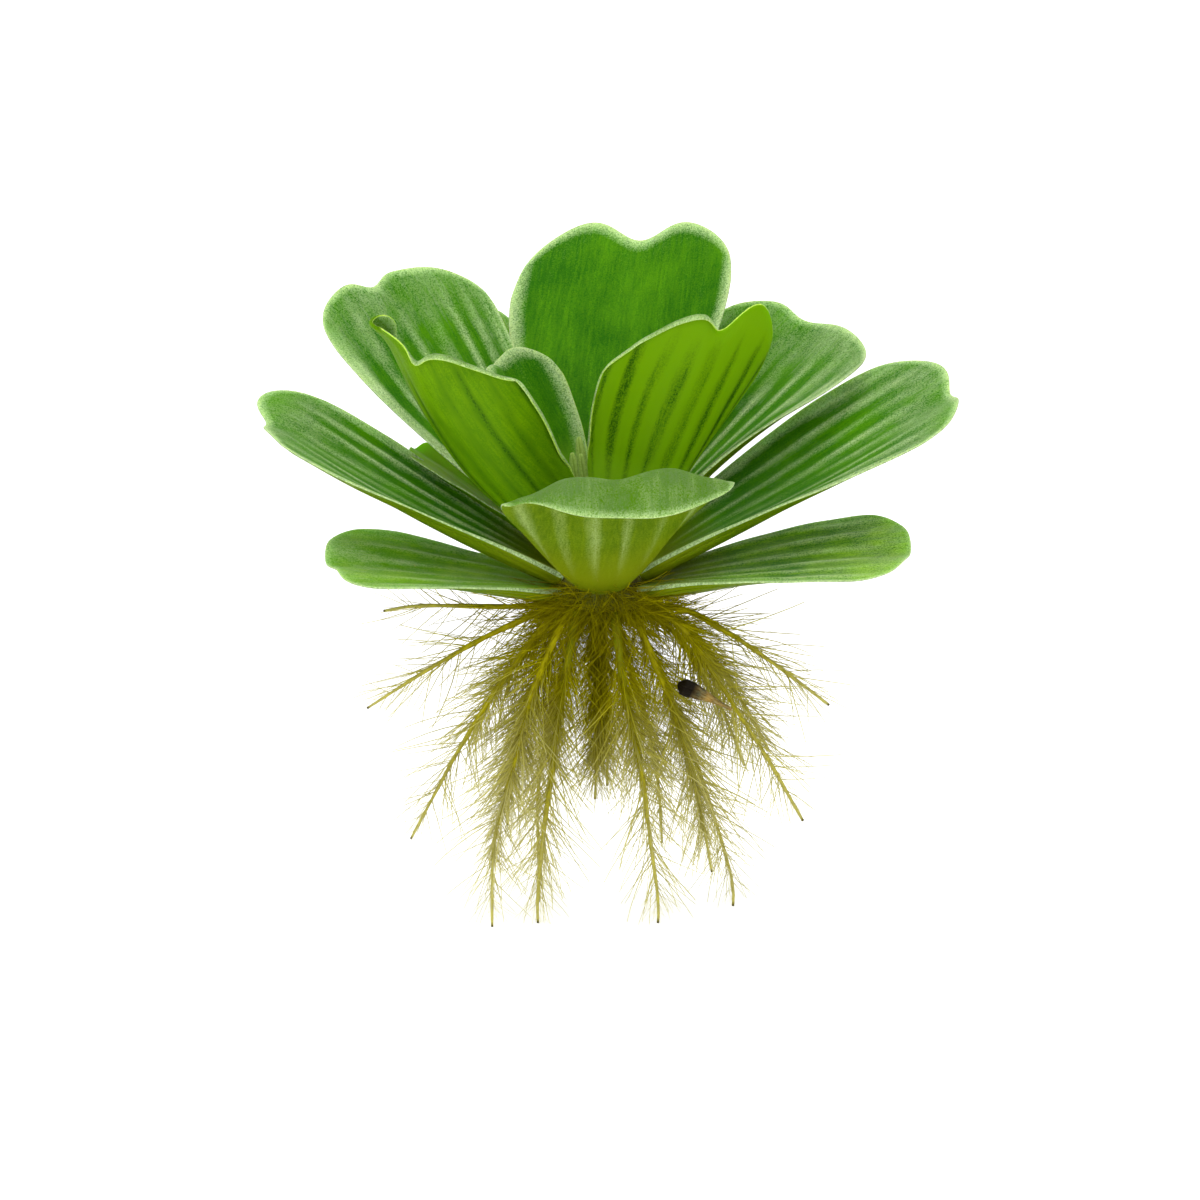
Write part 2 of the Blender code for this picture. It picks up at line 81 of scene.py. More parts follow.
LEAVES = {
    "leaf_back_tall": dict(
        azimuth=80, seat=80.5, rise=70, rise_tip=61, length=77.4, width=52, foot=6, cup=30, cup_tip=14,
        notch=0.08, widest=0.74, shoulder=0.72, notch_at=-0.02, notch_width=0.3, round=2.3, tilt=0.03,
        sweep=-9, ridges=10, ridge=0.5, upper="upper_deep", swell=1.25, roll=-5, skew=0.03),
    "leaf_back_pale": dict(
        azimuth=109, seat=74.2, rise=54, rise_tip=50, length=72, width=24, foot=6, sweep=7,
        thick_foot=2.6, ridges=6, upper="upper_fresh", rim="rim_bright", swell=0.8),
    "leaf_back_left": dict(
        azimuth=156, seat=78.4, rise=51, rise_tip=56, length=74, width=42, foot=6.2, roll=-25,
        roll_tip=-34, notch=0.05, notch_at=0.3, notch_width=0.16, tilt=0.05, skew=0.18, shoulder=0.76,
        sweep=-10, thick_foot=2.0, round=2.2, widest=0.9, cup=34, cup_tip=18, swell=0.75),
    "leaf_back_right": dict(
        azimuth=32, seat=78.4, rise=49.5, rise_tip=41, length=69.5, width=44, foot=4.4, roll=3,
        roll_tip=30, notch_at=0.15, swell=0.95, skew=-0.12),
    "leaf_inner_left": dict(
        azimuth=223, seat=78.5, rise=28, rise_tip=60, length=63, width=38, foot=6, roll=15, roll_tip=5,
        cup=80, cup_tip=50, curl=40, curl_from=0.88, shoulder=0.6, tilt=-0.23, sweep=-8,
        lips=((-0.1, 1.2, 0.15, 0.055, 165, 0.3), (-1.2, -0.5, 0.14, 0.06, -95, 0.75)),
        upper="upper_frosted", under="under_bright", rim="rim_bright", skew=0.07, notch=0.1,
        notch_at=-0.05, swell=0.8),
    "leaf_inner_right": dict(
        azimuth=313.5, seat=80.1, rise=60, rise_tip=55, length=56, width=45, foot=5, roll=-8,
        roll_tip=-10, cup=62, cup_tip=24, curl=20, curl_from=0.88, notch=0.15, notch_at=0.12,
        shoulder=0.46, notch_width=0.17, tilt=0.16, skew=0.1, lips=((-1.2, 0.1, 0.1, 0.05, 170, 0.45),),
        upper="upper_frosted", under="under_glowing", rim="rim_bright", round=1.9),
    "leaf_inner_small": dict(
        azimuth=172, seat=83.5, rise=68, rise_tip=58, length=39, width=23, foot=3.6, cup=90, cup_tip=50,
        thick_foot=1.8, roll=-20, roll_tip=-30, ridges=4, upper="upper_deep", widest=0.82,
        rim="rim_bright", lips=((0.0, 1.2, 0.2, 0.08, 120, 0.4),)),
    "leaf_front": dict(
        azimuth=274, seat=70.3, rise=32, rise_tip=16, length=56, width=46, foot=12, cup=50, cup_tip=-30,
        curl=115, curl_from=0.73, notch=0.0, shoulder=0.79, upper="upper_frosted", under="under_striped",
        lobe=2.2, roll=6, ridges=6),
    "leaf_left": dict(
        azimuth=188, seat=72.6, rise=24, rise_tip=32.5, length=69.5, width=34, foot=8.8, roll=-18,
        roll_tip=-30, cup=34, cup_tip=28, curl=30, curl_from=0.85, tilt=-0.03, skew=0.06, widest=0.6),
    "leaf_left_behind": dict(
        azimuth=160, seat=75.75, rise=37, rise_tip=31, length=41, width=17, foot=2.4, roll=-10,
        roll_tip=-14, notch=0.0, thick_foot=1.4, cup=30, ridges=6, under="under_bright",
        upper="upper_bright", swell=1.5, skew=0.35),
    "leaf_right": dict(
        azimuth=354.6, seat=73.5, rise=27.5, rise_tip=31.5, length=75, width=41, foot=9.5, roll=18,
        roll_tip=32, cup=34, cup_tip=15, tilt=0.03, widest=0.62, skew=0.15),
    "leaf_low_left": dict(
        azimuth=194, seat=69.2, rise=7, rise_tip=4, length=48, width=31, roll=-16, roll_tip=-26,
        cup=18, cup_tip=16, ridges=6, notch=0.02, notch_at=0.35, upper="upper_fresh"),
    "leaf_low_right": dict(
        azimuth=347, seat=70.0, rise=9, rise_tip=3.6, length=55.3, width=34, roll=16, roll_tip=26,
        cup=16, cup_tip=14, sweep=2, notch=0.0, ridges=6, upper="upper_low"),
    "leaf_low_back": dict(
        azimuth=91, seat=71, rise=12, rise_tip=10, length=52, width=34, foot=8, upper="upper_low"),
    "leaf_low_back_left": dict(
        azimuth=144, seat=68.4, rise=3, rise_tip=3, length=47, width=30, roll=-10, upper="upper_low"),
    "leaf_low_back_right": dict(
        azimuth=39.5, seat=68.8, rise=3, rise_tip=3, length=47, width=30, roll=6, upper="upper_low"),
    "leaf_behind_right": dict(
        azimuth=61, seat=74.6, rise=40, rise_tip=34, length=54, width=20, foot=6.5, thick_foot=2.4),
}

# Main roots, from the crown to the tip; the first point is worked out from the crown
ROOT_RADIUS = 0.75
ROOTS = {
    "root_01": [(-21, 1, 64.8), (-38.8, 0, 65.0), (-47.0, -1, 63.9)],
    "root_02": [(-16.6, -4, 62.6), (-26.2, -4, 58.1), (-37.3, -4, 51.8), (-50.2, -4, 43.6)],
    "root_03": [(-13.8, -8, 60.0), (-22.6, -11, 48.3), (-30.8, -13, 35.1), (-40.5, -14, 17.0)],
    "root_04": [(-11, -11, 58), (-16, -15, 45.6), (-18.9, -20, 33.6), (-22.8, -24, 18.4), (-23.4, -25, 7),
                (-23.4, -25, 0)],
    "root_05": [(-7.8, -9, 56.0), (-10.4, -12, 40.4), (-11.7, -14, 29.6), (-13.1, -17, 18.7), (-14.3, -17, 6),
                (-14.3, -17, 0)],
    "root_06": [(2.6, -10, 53.2), (4.8, -13, 41.3), (6.9, -16, 31.1), (8.7, -17, 17.2), (10.3, -17, 5),
                (10.3, -17, 0)],
    "root_07": [(9, -6, 55), (13, -5, 45), (18.3, -4, 27.4), (21.8, -4, 9.4)],
    "root_08": [(8.2, 9, 57.0), (11.9, 12, 49.1), (18.4, 16, 32.9), (22.1, 18, 22.3), (26.2, 21, 8.9),
                (27.2, 21, 3.5), (27.2, 21, 0)],
    "root_09": [(14.8, -6, 61.0), (22.0, -6, 51.0), (29.4, -6, 39.3), (34.0, -6, 32.1), (40.7, -6, 20.2)],
    "root_10": [(16.9, -1, 63.9), (27.1, -2, 58.2), (37.6, -2, 50.9), (46.4, -2, 44.2)],
    "root_11": [(14.5, 6, 62.0), (19.7, 7, 57.7), (27.9, 8, 45.8), (34.3, 8, 34.3)],
    "root_12": [(-12, 1, 56), (-17, -1, 42), (-20, -2, 30), (-21, -2, 19)],
    "root_13": [(-2.4, 6, 56), (-2, 5, 42), (-2.4, 6, 32), (-2.6, 7, 24)],
    "root_14": [(-8, 12, 55), (-12, 19, 42), (-15, 26, 25), (-15, 30, 8), (-15, 30, 0)],
    "root_15": [(4, 13, 54), (8, 20, 42), (11, 27, 27), (12, 30, 13)],
    "root_16": [(-1, 16, 58), (-1, 27, 47), (0, 36, 34), (0, 40, 25)],
    "root_17": [(-13, 9, 60), (-20, 15, 52), (-26, 21, 43), (-30, 25, 35)],
    "root_18": [(13.5, 10, 60), (20, 19, 51), (26, 25, 40), (30, 30, 30)],
}

# Rootlets on each root, and its tuft of finer ones: (from, to, number), as shares of the root's length
ROOTLETS = {"root_01": 60, "root_02": 110, "root_03": 200, "root_10": 120, "root_09": 230}
ROOTLETS_ELSEWHERE = 320
TUFTS = {
    "root_04": (0.3, 0.8, 700), "root_13": (0.02, 0.8, 1600), "root_07": (0.3, 0.85, 500),
    "root_05": (0.2, 0.5, 500), "root_06": (0.2, 0.5, 500), "root_12": (0.02, 0.8, 1300),
    "root_15": (0.02, 0.7, 1000), "root_14": (0.02, 0.5, 1000), "root_08": (0.02, 0.45, 650),
    "root_11": (0.02, 0.6, 500), "root_03": (0.15, 0.4, 350), "root_09": (0.15, 0.4, 350),
    "root_16": (0.02, 0.8, 1200),
}
GREEN_ROOTS = ("root_05", "root_06")
GREEN_ROOT_GIRTH = 1.4

# Length of the rootlets along a root and along its tuft: (share of the way, share of the full length)
ROOTLET_PROFILE = ((0.0, 0.5), (0.1, 0.8), (0.5, 1.0), (0.78, 0.8), (0.94, 0.3), (1.0, 0.0))
TUFT_PROFILE = ((0.0, 0.8), (0.5, 1.0), (1.0, 0.7))
MAT_FROM, MAT_TO = 61.0 * MM, 69.5 * MM

# A hair: its points and sides, its radius at foot and end as shares of its length, and its bends
HAIR_POINTS, HAIR_SIDES = 6, 3
HAIR_FOOT, HAIR_END = 0.0085, 0.0045
HAIR_BENDS = (0.02, 0.1, -0.06, 0.18)
ABOVE_FLOOR = 0.05 * MM

# Steps of a leaf's midrib, of each stretch of a root's line, and of a root's tube with its sides
MIDRIB_STEPS, STRETCH_STEPS, TUBE_STEPS, TUBE_SIDES = 48, 12, 70, 8

# The withered scrap: foot, tip and width
SCRAP_FROM = Vector((14.6, -11.5, 49.0))
SCRAP_TO = Vector((25.6, -11.0, 43.6))
SCRAP_WIDTH = 5.0

# The stage, in metres: what the lights face, their place and size, and the camera's sensor in millimetres
MIDDLE = (0.0, 0.0, 0.08)
LIGHTS = {
    "key": ((-0.35, -0.25, 1.1), (0.9, 0.9)),
    "fill": ((0.3, -0.95, 0.75), (1.0, 0.8)),
    "low": ((-0.25, -0.9, 0.12), (0.8, 0.5)),
}
SENSOR = 36.0
WHITE = (1.0, 1.0, 1.0, 1.0)


def tone(red, green, blue):
    """A screen colour, 0 to 255 a channel, as the linear colour that a shader takes."""
    channels = (c / 255.0 for c in (red, green, blue))
    return tuple(((c + 0.055) / 1.055) ** 2.4 if c > 0.04 else c / 12.92 for c in channels) + (1.0,)


def colour(label, text, *value):
    return FloatVectorProperty(name=label, description=text, subtype="COLOR", size=4, min=0.0, max=1.0,
                               default=tone(*value))


def size(label, text, value, unit="LENGTH"):
    return FloatProperty(name=label, description=text, unit=unit, default=value, precision=5)


class LeafSettings(bpy.types.PropertyGroup):
    """Sizes of the fine blades."""

    columns: IntProperty(name="Columns", description="Steps across a blade", default=34, min=8)
    rows: IntProperty(name="Rows", description="Steps along a blade", default=44, min=8)
    ridge_height: size("Ridge height", "Height of the pleats on the upper face", 0.55 * MM)
    ruffle: size("Ruffle", "Height of the slow waves along the margin", 0.5 * MM)
    blade: size("Blade thickness", "Thickness of the blade past its spongy foot", 1.0 * MM)
    edge: size("Edge thickness", "Thickness at the margin", 0.38 * MM)
    sink: size("Foot sink", "How far the foot runs into the crown", 2.2 * MM)
    seed: IntProperty(name="Seed", description="Changes the ruffle", default=5)


class LeafColours(bpy.types.PropertyGroup):
    """Colours of the leaves and buds."""

    # deep is also painted as shade in the furrows between the pleats.
    deep: colour("Deep green", "Darkest green of the upper face", 40, 104, 0)
    green: colour("Green", "Green of the upper face", 84, 146, 0)
    fresh: colour("Fresh green", "Yellow green of young blades", 146, 196, 40)
    # On the margins and ends the hoar is partly pale hairs and partly painted sheen.
    hoar: colour("Hoar", "Pale hairs on the ridges and margins", 190, 214, 152)
    frosted: colour("Frosted green", "Blue green of a face with many hairs", 94, 126, 64)
    # Painted light: this bright green stands for light coming through an underside.
    olive: colour("Olive", "The foot of a leaf", 116, 128, 6)
    # Painted shade: a darker copy of the glowing green for the hollows between the ribs, also used for darker
    # patches.
    glow: colour("Glowing green", "Underside that light comes through", 108, 154, 0)
    patch_and_pleat_shade: colour("Pleat", "Hollow between the ribs of a glowing underside", 78, 122, 0)
    # Painted shade: dark green laid in the grooves of the undersides.
    furrow: colour("Furrow", "Dark furrows of the underside", 44, 86, 0)
    under: colour("Underside", "Underside of the other leaves", 104, 128, 8)
    # A darker copy of the underside green, laid in random patches and as painted shade in the grooves.
    under_patch_and_shade: colour("Dark underside", "Shaded underside", 70, 98, 0)
    stripe: colour("Stripe", "Pale stripes of the front leaf's underside", 136, 158, 84)
    # Painted light: a bright line standing for light coming through the thin edge.
    line: colour("Margin line", "Thin bright line on the margin", 206, 230, 84)
    bud: colour("Bud", "Fuzzy buds", 178, 206, 100)
    bud_heart: colour("Bud heart", "Inside of the buds", 120, 156, 20)


class RootSettings(bpy.types.PropertyGroup):
    """Sizes of the roots and rootlets."""

    foot: size("Foot radius", "Radius of a root at the crown", 0.82 * MM)
    tip: size("Tip radius", "Radius of a root at its tip", 0.27 * MM)
    length: size("Rootlet length", "Length of the longest rootlets", 16.0 * MM)
    tuft_length: size("Tuft length", "Length of the finer rootlets", 7.5 * MM)
    mat_shortest: size("Mat, shortest", "Length of the shortest young rootlets on the crown", 4.0 * MM)
    mat_longest: size("Mat, longest", "Length of the longest young rootlets on the crown", 12.0 * MM)
    mat_density: size("Mat density", "Young rootlets on each square metre of the crown", 3500000.0, "NONE")
    wave: size("Wave", "How far a rootlet's end strays", 0.45 * MM)
    angle: size("Angle", "Angle between a root and its rootlets", math.radians(42), "ROTATION")
    seed: IntProperty(name="Seed", description="Changes the rootlets", default=11)


class RootColours(bpy.types.PropertyGroup):
    """Colours of the roots, the crown and the scrap."""

    gold: colour("Gold", "Olive gold of the roots", 190, 182, 0)
    # Dark olive given at random to rootlets and bark streaks, and painted as shade on the rootlets near the
    # crown.
    shade: colour("Shade", "Dark olive between the roots", 120, 112, 0)
    green: colour("Green", "The thick green roots near the crown", 126, 142, 4)
    pale: colour("Pale", "Ends of the rootlets", 226, 220, 158)
    crown: colour("Crown", "Crown", 122, 126, 14)
    # Painted shade in the crown's hollows, and the dark blunt tips of the roots.
    crease_shade_and_tip: colour("Crown dark", "Creases of the crown", 60, 50, 8)
    scrap: colour("Scrap", "Brown of the withered scrap", 156, 112, 16)
    scrap_dark: colour("Scrap dark", "Black of the withered scrap", 20, 14, 4)


class StageSettings(bpy.types.PropertyGroup):
    """Camera, floor and lights."""

    lens: size("Lens", "Focal length in millimetres", 100.0, "NONE")
    distance: size("Distance", "From the camera to the middle of the plant", 700 * MM)
    side: size("Side", "Camera's place to the right of the plant's axis", -1.575 * MM)
    height: size("Height", "Camera's height, level with the water line", 66.2 * MM)
    floor: colour("Floor", "Floor and backdrop", 250, 250, 250)
    key: size("Key light", "Power of the light above", 4.8, "NONE")
    fill: size("Fill light", "Power of the light in front", 4.4, "NONE")
    low: size("Low light", "Power of the light in front of the roots", 2.2, "NONE")
    glow: size("Floor glow", "Light that the backdrop gives off itself", 0.5, "NONE")
    sky: size("Sky", "Strength of the white light all round", 0.5, "NONE")


def smooth(x):
    x = min(max(x, 0.0), 1.0)
    return x * x * (3.0 - 2.0 * x)


def lerp(a, b, t):
    return a + (b - a) * t


class Tree:
    """Adds nodes to a shader or geometry tree and links them."""

    def __init__(self, tree):
        self.tree = tree

    @staticmethod
    def find(sockets, key):
        if isinstance(key, int):
            return sockets[key]
        return next((s for s in sockets if s.identifier == key), None) or sockets[key]

    def add(self, kind, inputs=None, **settings):
        node = self.tree.nodes.new(kind)
        for name, value in settings.items():
            setattr(node, name, value)
        for key, value in (inputs or {}).items():
            self.feed(value, self.find(node.inputs, key))
        return node

    def feed(self, value, socket):
        if isinstance(value, bpy.types.NodeSocket):
            self.tree.links.new(value, socket)
        else:
            socket.default_value = value

    def math(self, operation, a, b=0.0):
        return self.add("ShaderNodeMath", {0: a, 1: b}, operation=operation).outputs[0]

    def times(self, a, b):
        return self.math("MULTIPLY", a, b)

    def plus(self, a, b):
        return self.math("ADD", a, b)

    def vector(self, operation, a, b=(0.0, 0.0, 0.0)):
        return self.add("ShaderNodeVectorMath", {0: a, 1: b}, operation=operation).outputs[0]

    def scale(self, a, factor):
        return self.add("ShaderNodeVectorMath", {0: a, "Scale": factor}, operation="SCALE").outputs[0]

    def span(self, value, low, high, start=0.0, end=1.0):
        """value from low to high becomes start to end."""
        return self.add("ShaderNodeMapRange", {"Value": value, "From Min": low, "From Max": high,
                                               "To Min": start, "To Max": end}).outputs[0]

    def mix(self, factor, a, b):
        """Colour a where factor is 0 and b where it is 1."""
        return self.add("ShaderNodeMix", {0: factor, 6: a, 7: b}, data_type="RGBA").outputs[2]

    def attribute(self, name):
        return self.add("ShaderNodeAttribute", attribute_name=name).outputs["Fac"]

    def place(self, kind="Object"):
        return self.add("ShaderNodeTexCoord").outputs[kind]

    def grain(self, place, scale, detail, roughness=0.5):
        """Noise at a place, or where the tree itself reads it if place is None."""
        where = {} if place is None else {"Vector": place}
        return self.add("ShaderNodeTexNoise", {**where, "Scale": scale, "Detail": detail,
                                               "Roughness": roughness}).outputs["Fac"]

    def join(self, *parts):
        """Several geometries as one, linked in this order."""
        whole = self.add("GeometryNodeJoinGeometry")
        for part in parts:
            self.tree.links.new(part, whole.inputs[0])
        return whole.outputs[0]

    def group(self, name, **inputs):
        node = self.add("ShaderNodeGroup", node_tree=shared_group(name))
        for name, value in inputs.items():
            self.feed(value, node.inputs[name.replace("_", " ")])
        return node


def shader_group(name, inputs, outputs):
    """A new shader node group with its sockets, and the Tree, input and output nodes to fill it."""
    group = bpy.data.node_groups.new(name, "ShaderNodeTree")
    for label, value in inputs.items():
        group.interface.new_socket(label, in_out="INPUT", socket_type="NodeSocketFloat").default_value = value
    for label in outputs:
        group.interface.new_socket(label, in_out="OUTPUT", socket_type="NodeSocketFloat")
    tree = Tree(group)
    return tree, tree.add("NodeGroupInput"), tree.add("NodeGroupOutput")


def velvet_group():
    """Fine pale hairs, seen as flecks. Height is for a Bump node."""
    t, given, out = shader_group("Velvet", {"Scale": 1500.0, "Cover": 0.5}, ("Hairs", "Height"))
    fine = t.grain(t.place(), given.outputs["Scale"], 3.0, 0.7)
    low = t.math("SUBTRACT", 0.6, t.times(given.outputs["Cover"], 0.4))
    hairs = t.span(fine, low, t.plus(low, 0.3))
    t.feed(hairs, out.inputs["Hairs"])
    t.feed(fine, out.inputs["Height"])
    return t.tree


def blotch_group():
    """Slow patches of lighter and darker colour."""
    t, given, out = shader_group("Blotches", {"Scale": 90.0, "Shift": 0.0}, ("Patch",))
    shift = t.add("ShaderNodeCombineXYZ", {"X": given.outputs["Shift"]}).outputs[0]
    slow = t.grain(t.vector("ADD", t.place(), shift), given.outputs["Scale"], 4.0, 0.55)
    t.feed(t.span(slow, 0.32, 0.68), out.inputs["Patch"])
    return t.tree


def vein_group():
    """Thin lines that run along a blade or a root, from its UV map."""
    t, given, out = shader_group("Veins", {"Across": 60.0, "Along": 3.0}, ("Lines",))
    way = t.add("ShaderNodeSeparateXYZ", {0: t.place("UV")})
    stretched = t.add("ShaderNodeCombineXYZ", {
        "X": t.times(way.outputs["X"], given.outputs["Across"]),
        "Y": t.times(way.outputs["Y"], given.outputs["Along"])}).outputs[0]
    lines = t.grain(stretched, 1.0, 3.0, 0.6)
    t.feed(t.span(lines, 0.3, 0.7), out.inputs["Lines"])
    return t.tree


def shared_group(name):
    """One of the shader node groups that several materials use, built once."""
    makers = {"Velvet": velvet_group, "Blotches": blotch_group, "Veins": vein_group}
    return bpy.data.node_groups.get(name) or makers[name]()


def new_material(name, display):
    """A material with an empty tree apart from its Principled shader."""
    material = bpy.data.materials.new(name)
    material.use_nodes = True
    material.diffuse_color = display
    t = Tree(material.node_tree)
    return material, t, material.node_tree.nodes["Principled BSDF"]


def shared_material(name, make):
    """A material that several pieces use, made once."""
    return bpy.data.materials.get(name) or make(name)


def add_bump(t, shader, strength, depth, height):
    """Relief from a height, depth in millimetres."""
    bump = t.add("ShaderNodeBump", {"Strength": strength, "Distance": depth * MM, "Height": height})
    t.feed(bump.outputs[0], shader.inputs["Normal"])


def set_shader(shader, **values):
    for name, value in values.items():
        shader.inputs[name.replace("_", " ")].default_value = value


# How each kind of blade face looks. deep and green are mixed in patches, deep is painted as shade in the
# furrows, pale on the ridges, margins and ends; the furrow shade, ridge, frost, margin and end are strengths,
# reach is in millimetres.
FACE_KEYS = ("deep", "green", "pale", "foot", "furrow", "ridge", "frost", "margin", "reach", "end")
FACES = {
    "upper_deep": ("deep", "green", "hoar", "fresh", 0.5, 0.15, 0.1, 1.0, 5.0, 0.15),
    "upper_ridged": ("deep", "green", "hoar", "olive", 0.45, 0.9, 0.4, 0.8, 4.0, 0.25),
    "upper_frosted": ("patch_and_pleat_shade", "frosted", "hoar", "olive", 0.2, 0.3, 0.35, 0.6, 3.0, 0.15),
    "upper_fresh": ("green", "fresh", "hoar", "fresh", 0.5, 0.6, 0.45, 0.6, 3.0, 0.2),
    # Painted light: leaf_left_behind's upper face takes the brightest yellow-green, standing for light coming
    # through it.
    "upper_bright": ("fresh", "fresh", "fresh", "line", 0.6, 0.5, 0.1, 0.4, 2.0, 0.1),
    "upper_low": ("deep", "fresh", "hoar", "olive", 0.6, 0.8, 0.35, 0.6, 3.0, 0.3),
    # Painted light and shade on the undersides: the bright greens stand for light coming through the leaf,
    # and the dark colour that the ridge mask lays in an underside's grooves is painted shade.
    "under_bright": ("patch_and_pleat_shade", "glow", "furrow", "glow", 0.7, 1.7, 0.2, 0.0, 1.0, 0.0),
    "under_glowing": ("glow", "glow", "furrow", "fresh", 0.0, 1.7, 0.2, 0.0, 1.0, 0.0),
    "under_striped": ("under_patch_and_shade", "under", "stripe", "olive", 0.3, 1.2, 0.3, 0.0, 1.0, 0.1),
    # Painted shade: the darker underside green is laid in the grooves as well as in patches.
    "under_plain": ("under_patch_and_shade", "under", "under_patch_and_shade", "olive", 0.0, 0.5, 0.3, 0.0, 1.0, 0.0),
}


def face_material(name):
    """One face of a blade: patches of green, ridges, velvet hairs, margin and foot."""
    look, colours = dict(zip(FACE_KEYS, FACES[name])), bpy.context.scene.lettuce_leaf_colours
    tint = {key: getattr(colours, look[key]) for key in ("deep", "green", "pale", "foot")}
    material, t, shader = new_material(name, tint["green"])
    patch = t.group("Blotches", Scale=70.0).outputs["Patch"]
    lines = t.group("Veins", Across=80.0, Along=11.0).outputs["Lines"]
    velvet = t.group("Velvet", Scale=3000.0, Cover=0.6)
    ridge = t.attribute("ridge")
    margin = t.span(t.attribute("margin_mm"), 0.0, look["reach"], 1.0, 0.0)
    foot = t.span(t.attribute("foot_mm"), 4.0, 18.0, 1.0, 0.0)
    mottled = t.plus(patch, t.plus(t.times(lines, 0.8), velvet.outputs["Hairs"]))
    mottled = t.span(mottled, 0.75, 2.1)
    # Painted shade: the furrows between the pleats are darkened towards the deep colour.
    painted_furrow_shade = t.times(t.attribute("furrow"), look["furrow"])
    base = t.mix(mottled, tint["deep"], tint["green"])
    base = t.mix(t.times(painted_furrow_shade, t.span(lines, 0.0, 1.0, 1.0, 0.5)), base, tint["deep"])
    on_ridge = t.times(ridge, t.span(lines, 0.0, 1.0, 0.5 * look["ridge"], look["ridge"]))
    # Margins and ends turn pale: partly their pale hairs, partly a painted sheen.
    margin_hairs_and_sheen = t.times(t.math("POWER", margin, 1.6), look["margin"])
    end_hairs_and_sheen = t.span(t.attribute("end"), 0.55, 1.0, 0.0, look["end"])
    cloud = t.group("Veins", Across=9.0, Along=5.0).outputs["Lines"]
    on_cloud = t.times(t.times(cloud, t.math("SUBTRACT", 1.0, mottled)), look["frost"])
    hairy = t.plus(t.plus(on_ridge, t.math("MAXIMUM", margin_hairs_and_sheen, end_hairs_and_sheen)), on_cloud)
    pale = t.times(hairy, t.span(velvet.outputs["Hairs"], 0.0, 1.0, 0.4, 1.3))
    pale = t.span(pale, 0.16, 0.8)
    base = t.mix(pale, base, tint["pale"])
    base = t.mix(t.times(foot, 0.8), base, tint["foot"])
    t.feed(base, shader.inputs["Base Color"])
    relief = t.plus(t.times(velvet.outputs["Height"], 0.6), t.times(lines, 0.5))
    add_bump(t, shader, 0.35, 0.12, relief)
    t.feed(t.span(mottled, 0.0, 1.0, 0.62, 0.5), shader.inputs["Roughness"])
    upper = name.startswith("upper")
    set_shader(shader, Specular_IOR_Level=0.05, Sheen_Weight=0.02 if upper else 0.0, Sheen_Roughness=0.45,
               Sheen_Tint=(0.85, 1.0, 0.85, 1.0), Subsurface_Weight=0.6,
               Subsurface_Radius=(0.7, 1.0, 0.2), Subsurface_Scale=1.5 * MM)
    return material


def rim_material(name):
    """The thin rounded margin: hoary with hairs, or a bright line painted as if light came through the edge.
    """
    colours = bpy.context.scene.lettuce_leaf_colours
    low, high = (colours.line, colours.fresh) if name == "rim_bright" else (colours.frosted, colours.hoar)
    material, t, shader = new_material(name, high)
    velvet = t.group("Velvet", Scale=2200.0, Cover=0.7)
    t.feed(t.mix(velvet.outputs["Hairs"], low, high), shader.inputs["Base Color"])
    add_bump(t, shader, 0.3, 0.1, velvet.outputs["Height"])
    set_shader(shader, Roughness=0.6, Sheen_Weight=0.15, Sheen_Roughness=0.5, Subsurface_Weight=0.4,
               Subsurface_Radius=(0.8, 1.0, 0.4), Subsurface_Scale=1.0 * MM)
    return material


def bark_material(name, main):
    """Skin of a main root: gold with dark streaks along it, darker at the blunt tip."""
    colours = bpy.context.scene.lettuce_root_colours
    material, t, shader = new_material(name, main)
    way = t.attribute("way")
    streaks = t.grain(t.place(), 700.0, 3.0)
    base = t.mix(t.span(way, 0.15, 0.55), main, colours.gold)
    base = t.mix(t.span(streaks, 0.35, 0.65, 0.35, 0.85), base, colours.shade)
    base = t.mix(t.times(t.span(way, 0.5, 1.0), 0.35), base, colours.pale)
    base = t.mix(t.span(way, 0.985, 0.998), base, colours.crease_shade_and_tip)
    t.feed(base, shader.inputs["Base Color"])
    add_bump(t, shader, 0.4, 0.1, streaks)
    set_shader(shader, Roughness=0.5, Specular_IOR_Level=0.1, Subsurface_Weight=0.2,
               Subsurface_Radius=(0.8, 0.8, 0.2), Subsurface_Scale=0.6 * MM)
    return material


def rootlet_material(name):
    """Hair-thin rootlets: gold at the foot, pale at the end, each a little different, darkened near the crown
    as painted shade.
    """
    colours = bpy.context.scene.lettuce_root_colours
    material, t, shader = new_material(name, colours.gold)
    tip, each = t.attribute("tip"), t.attribute("each")
    place = t.place()
    spots = t.grain(place, 260.0, 2.0)
    reach = t.vector("SUBTRACT", place, tuple(CROWN_AXIS * MM + Vector((0.0, 0.0, 66.0)) * MM))
    reach = t.add("ShaderNodeVectorMath", {0: reach}, operation="LENGTH").outputs["Value"]
    outer = t.span(reach, 24.0 * MM, 54.0 * MM, 0.0, 0.8)
    base = t.mix(t.span(each, 0.0, 1.0, 0.0, 0.9), colours.gold, colours.shade)
    base = t.mix(t.times(t.span(spots, 0.55, 0.75), 0.4), base, colours.shade)
    base = t.mix(t.times(t.span(tip, 0.0, 1.0, 0.35, 1.0), outer), base, colours.pale)
    # Painted shade: rootlets near the crown, under the rosette, are darkened towards the dark olive.
    base = t.mix(t.span(reach, 10.0 * MM, 24.0 * MM, 0.45, 0.0), base, colours.shade)
    t.feed(base, shader.inputs["Base Color"])
    set_shader(shader, Roughness=0.6, Specular_IOR_Level=0.04)
    return material


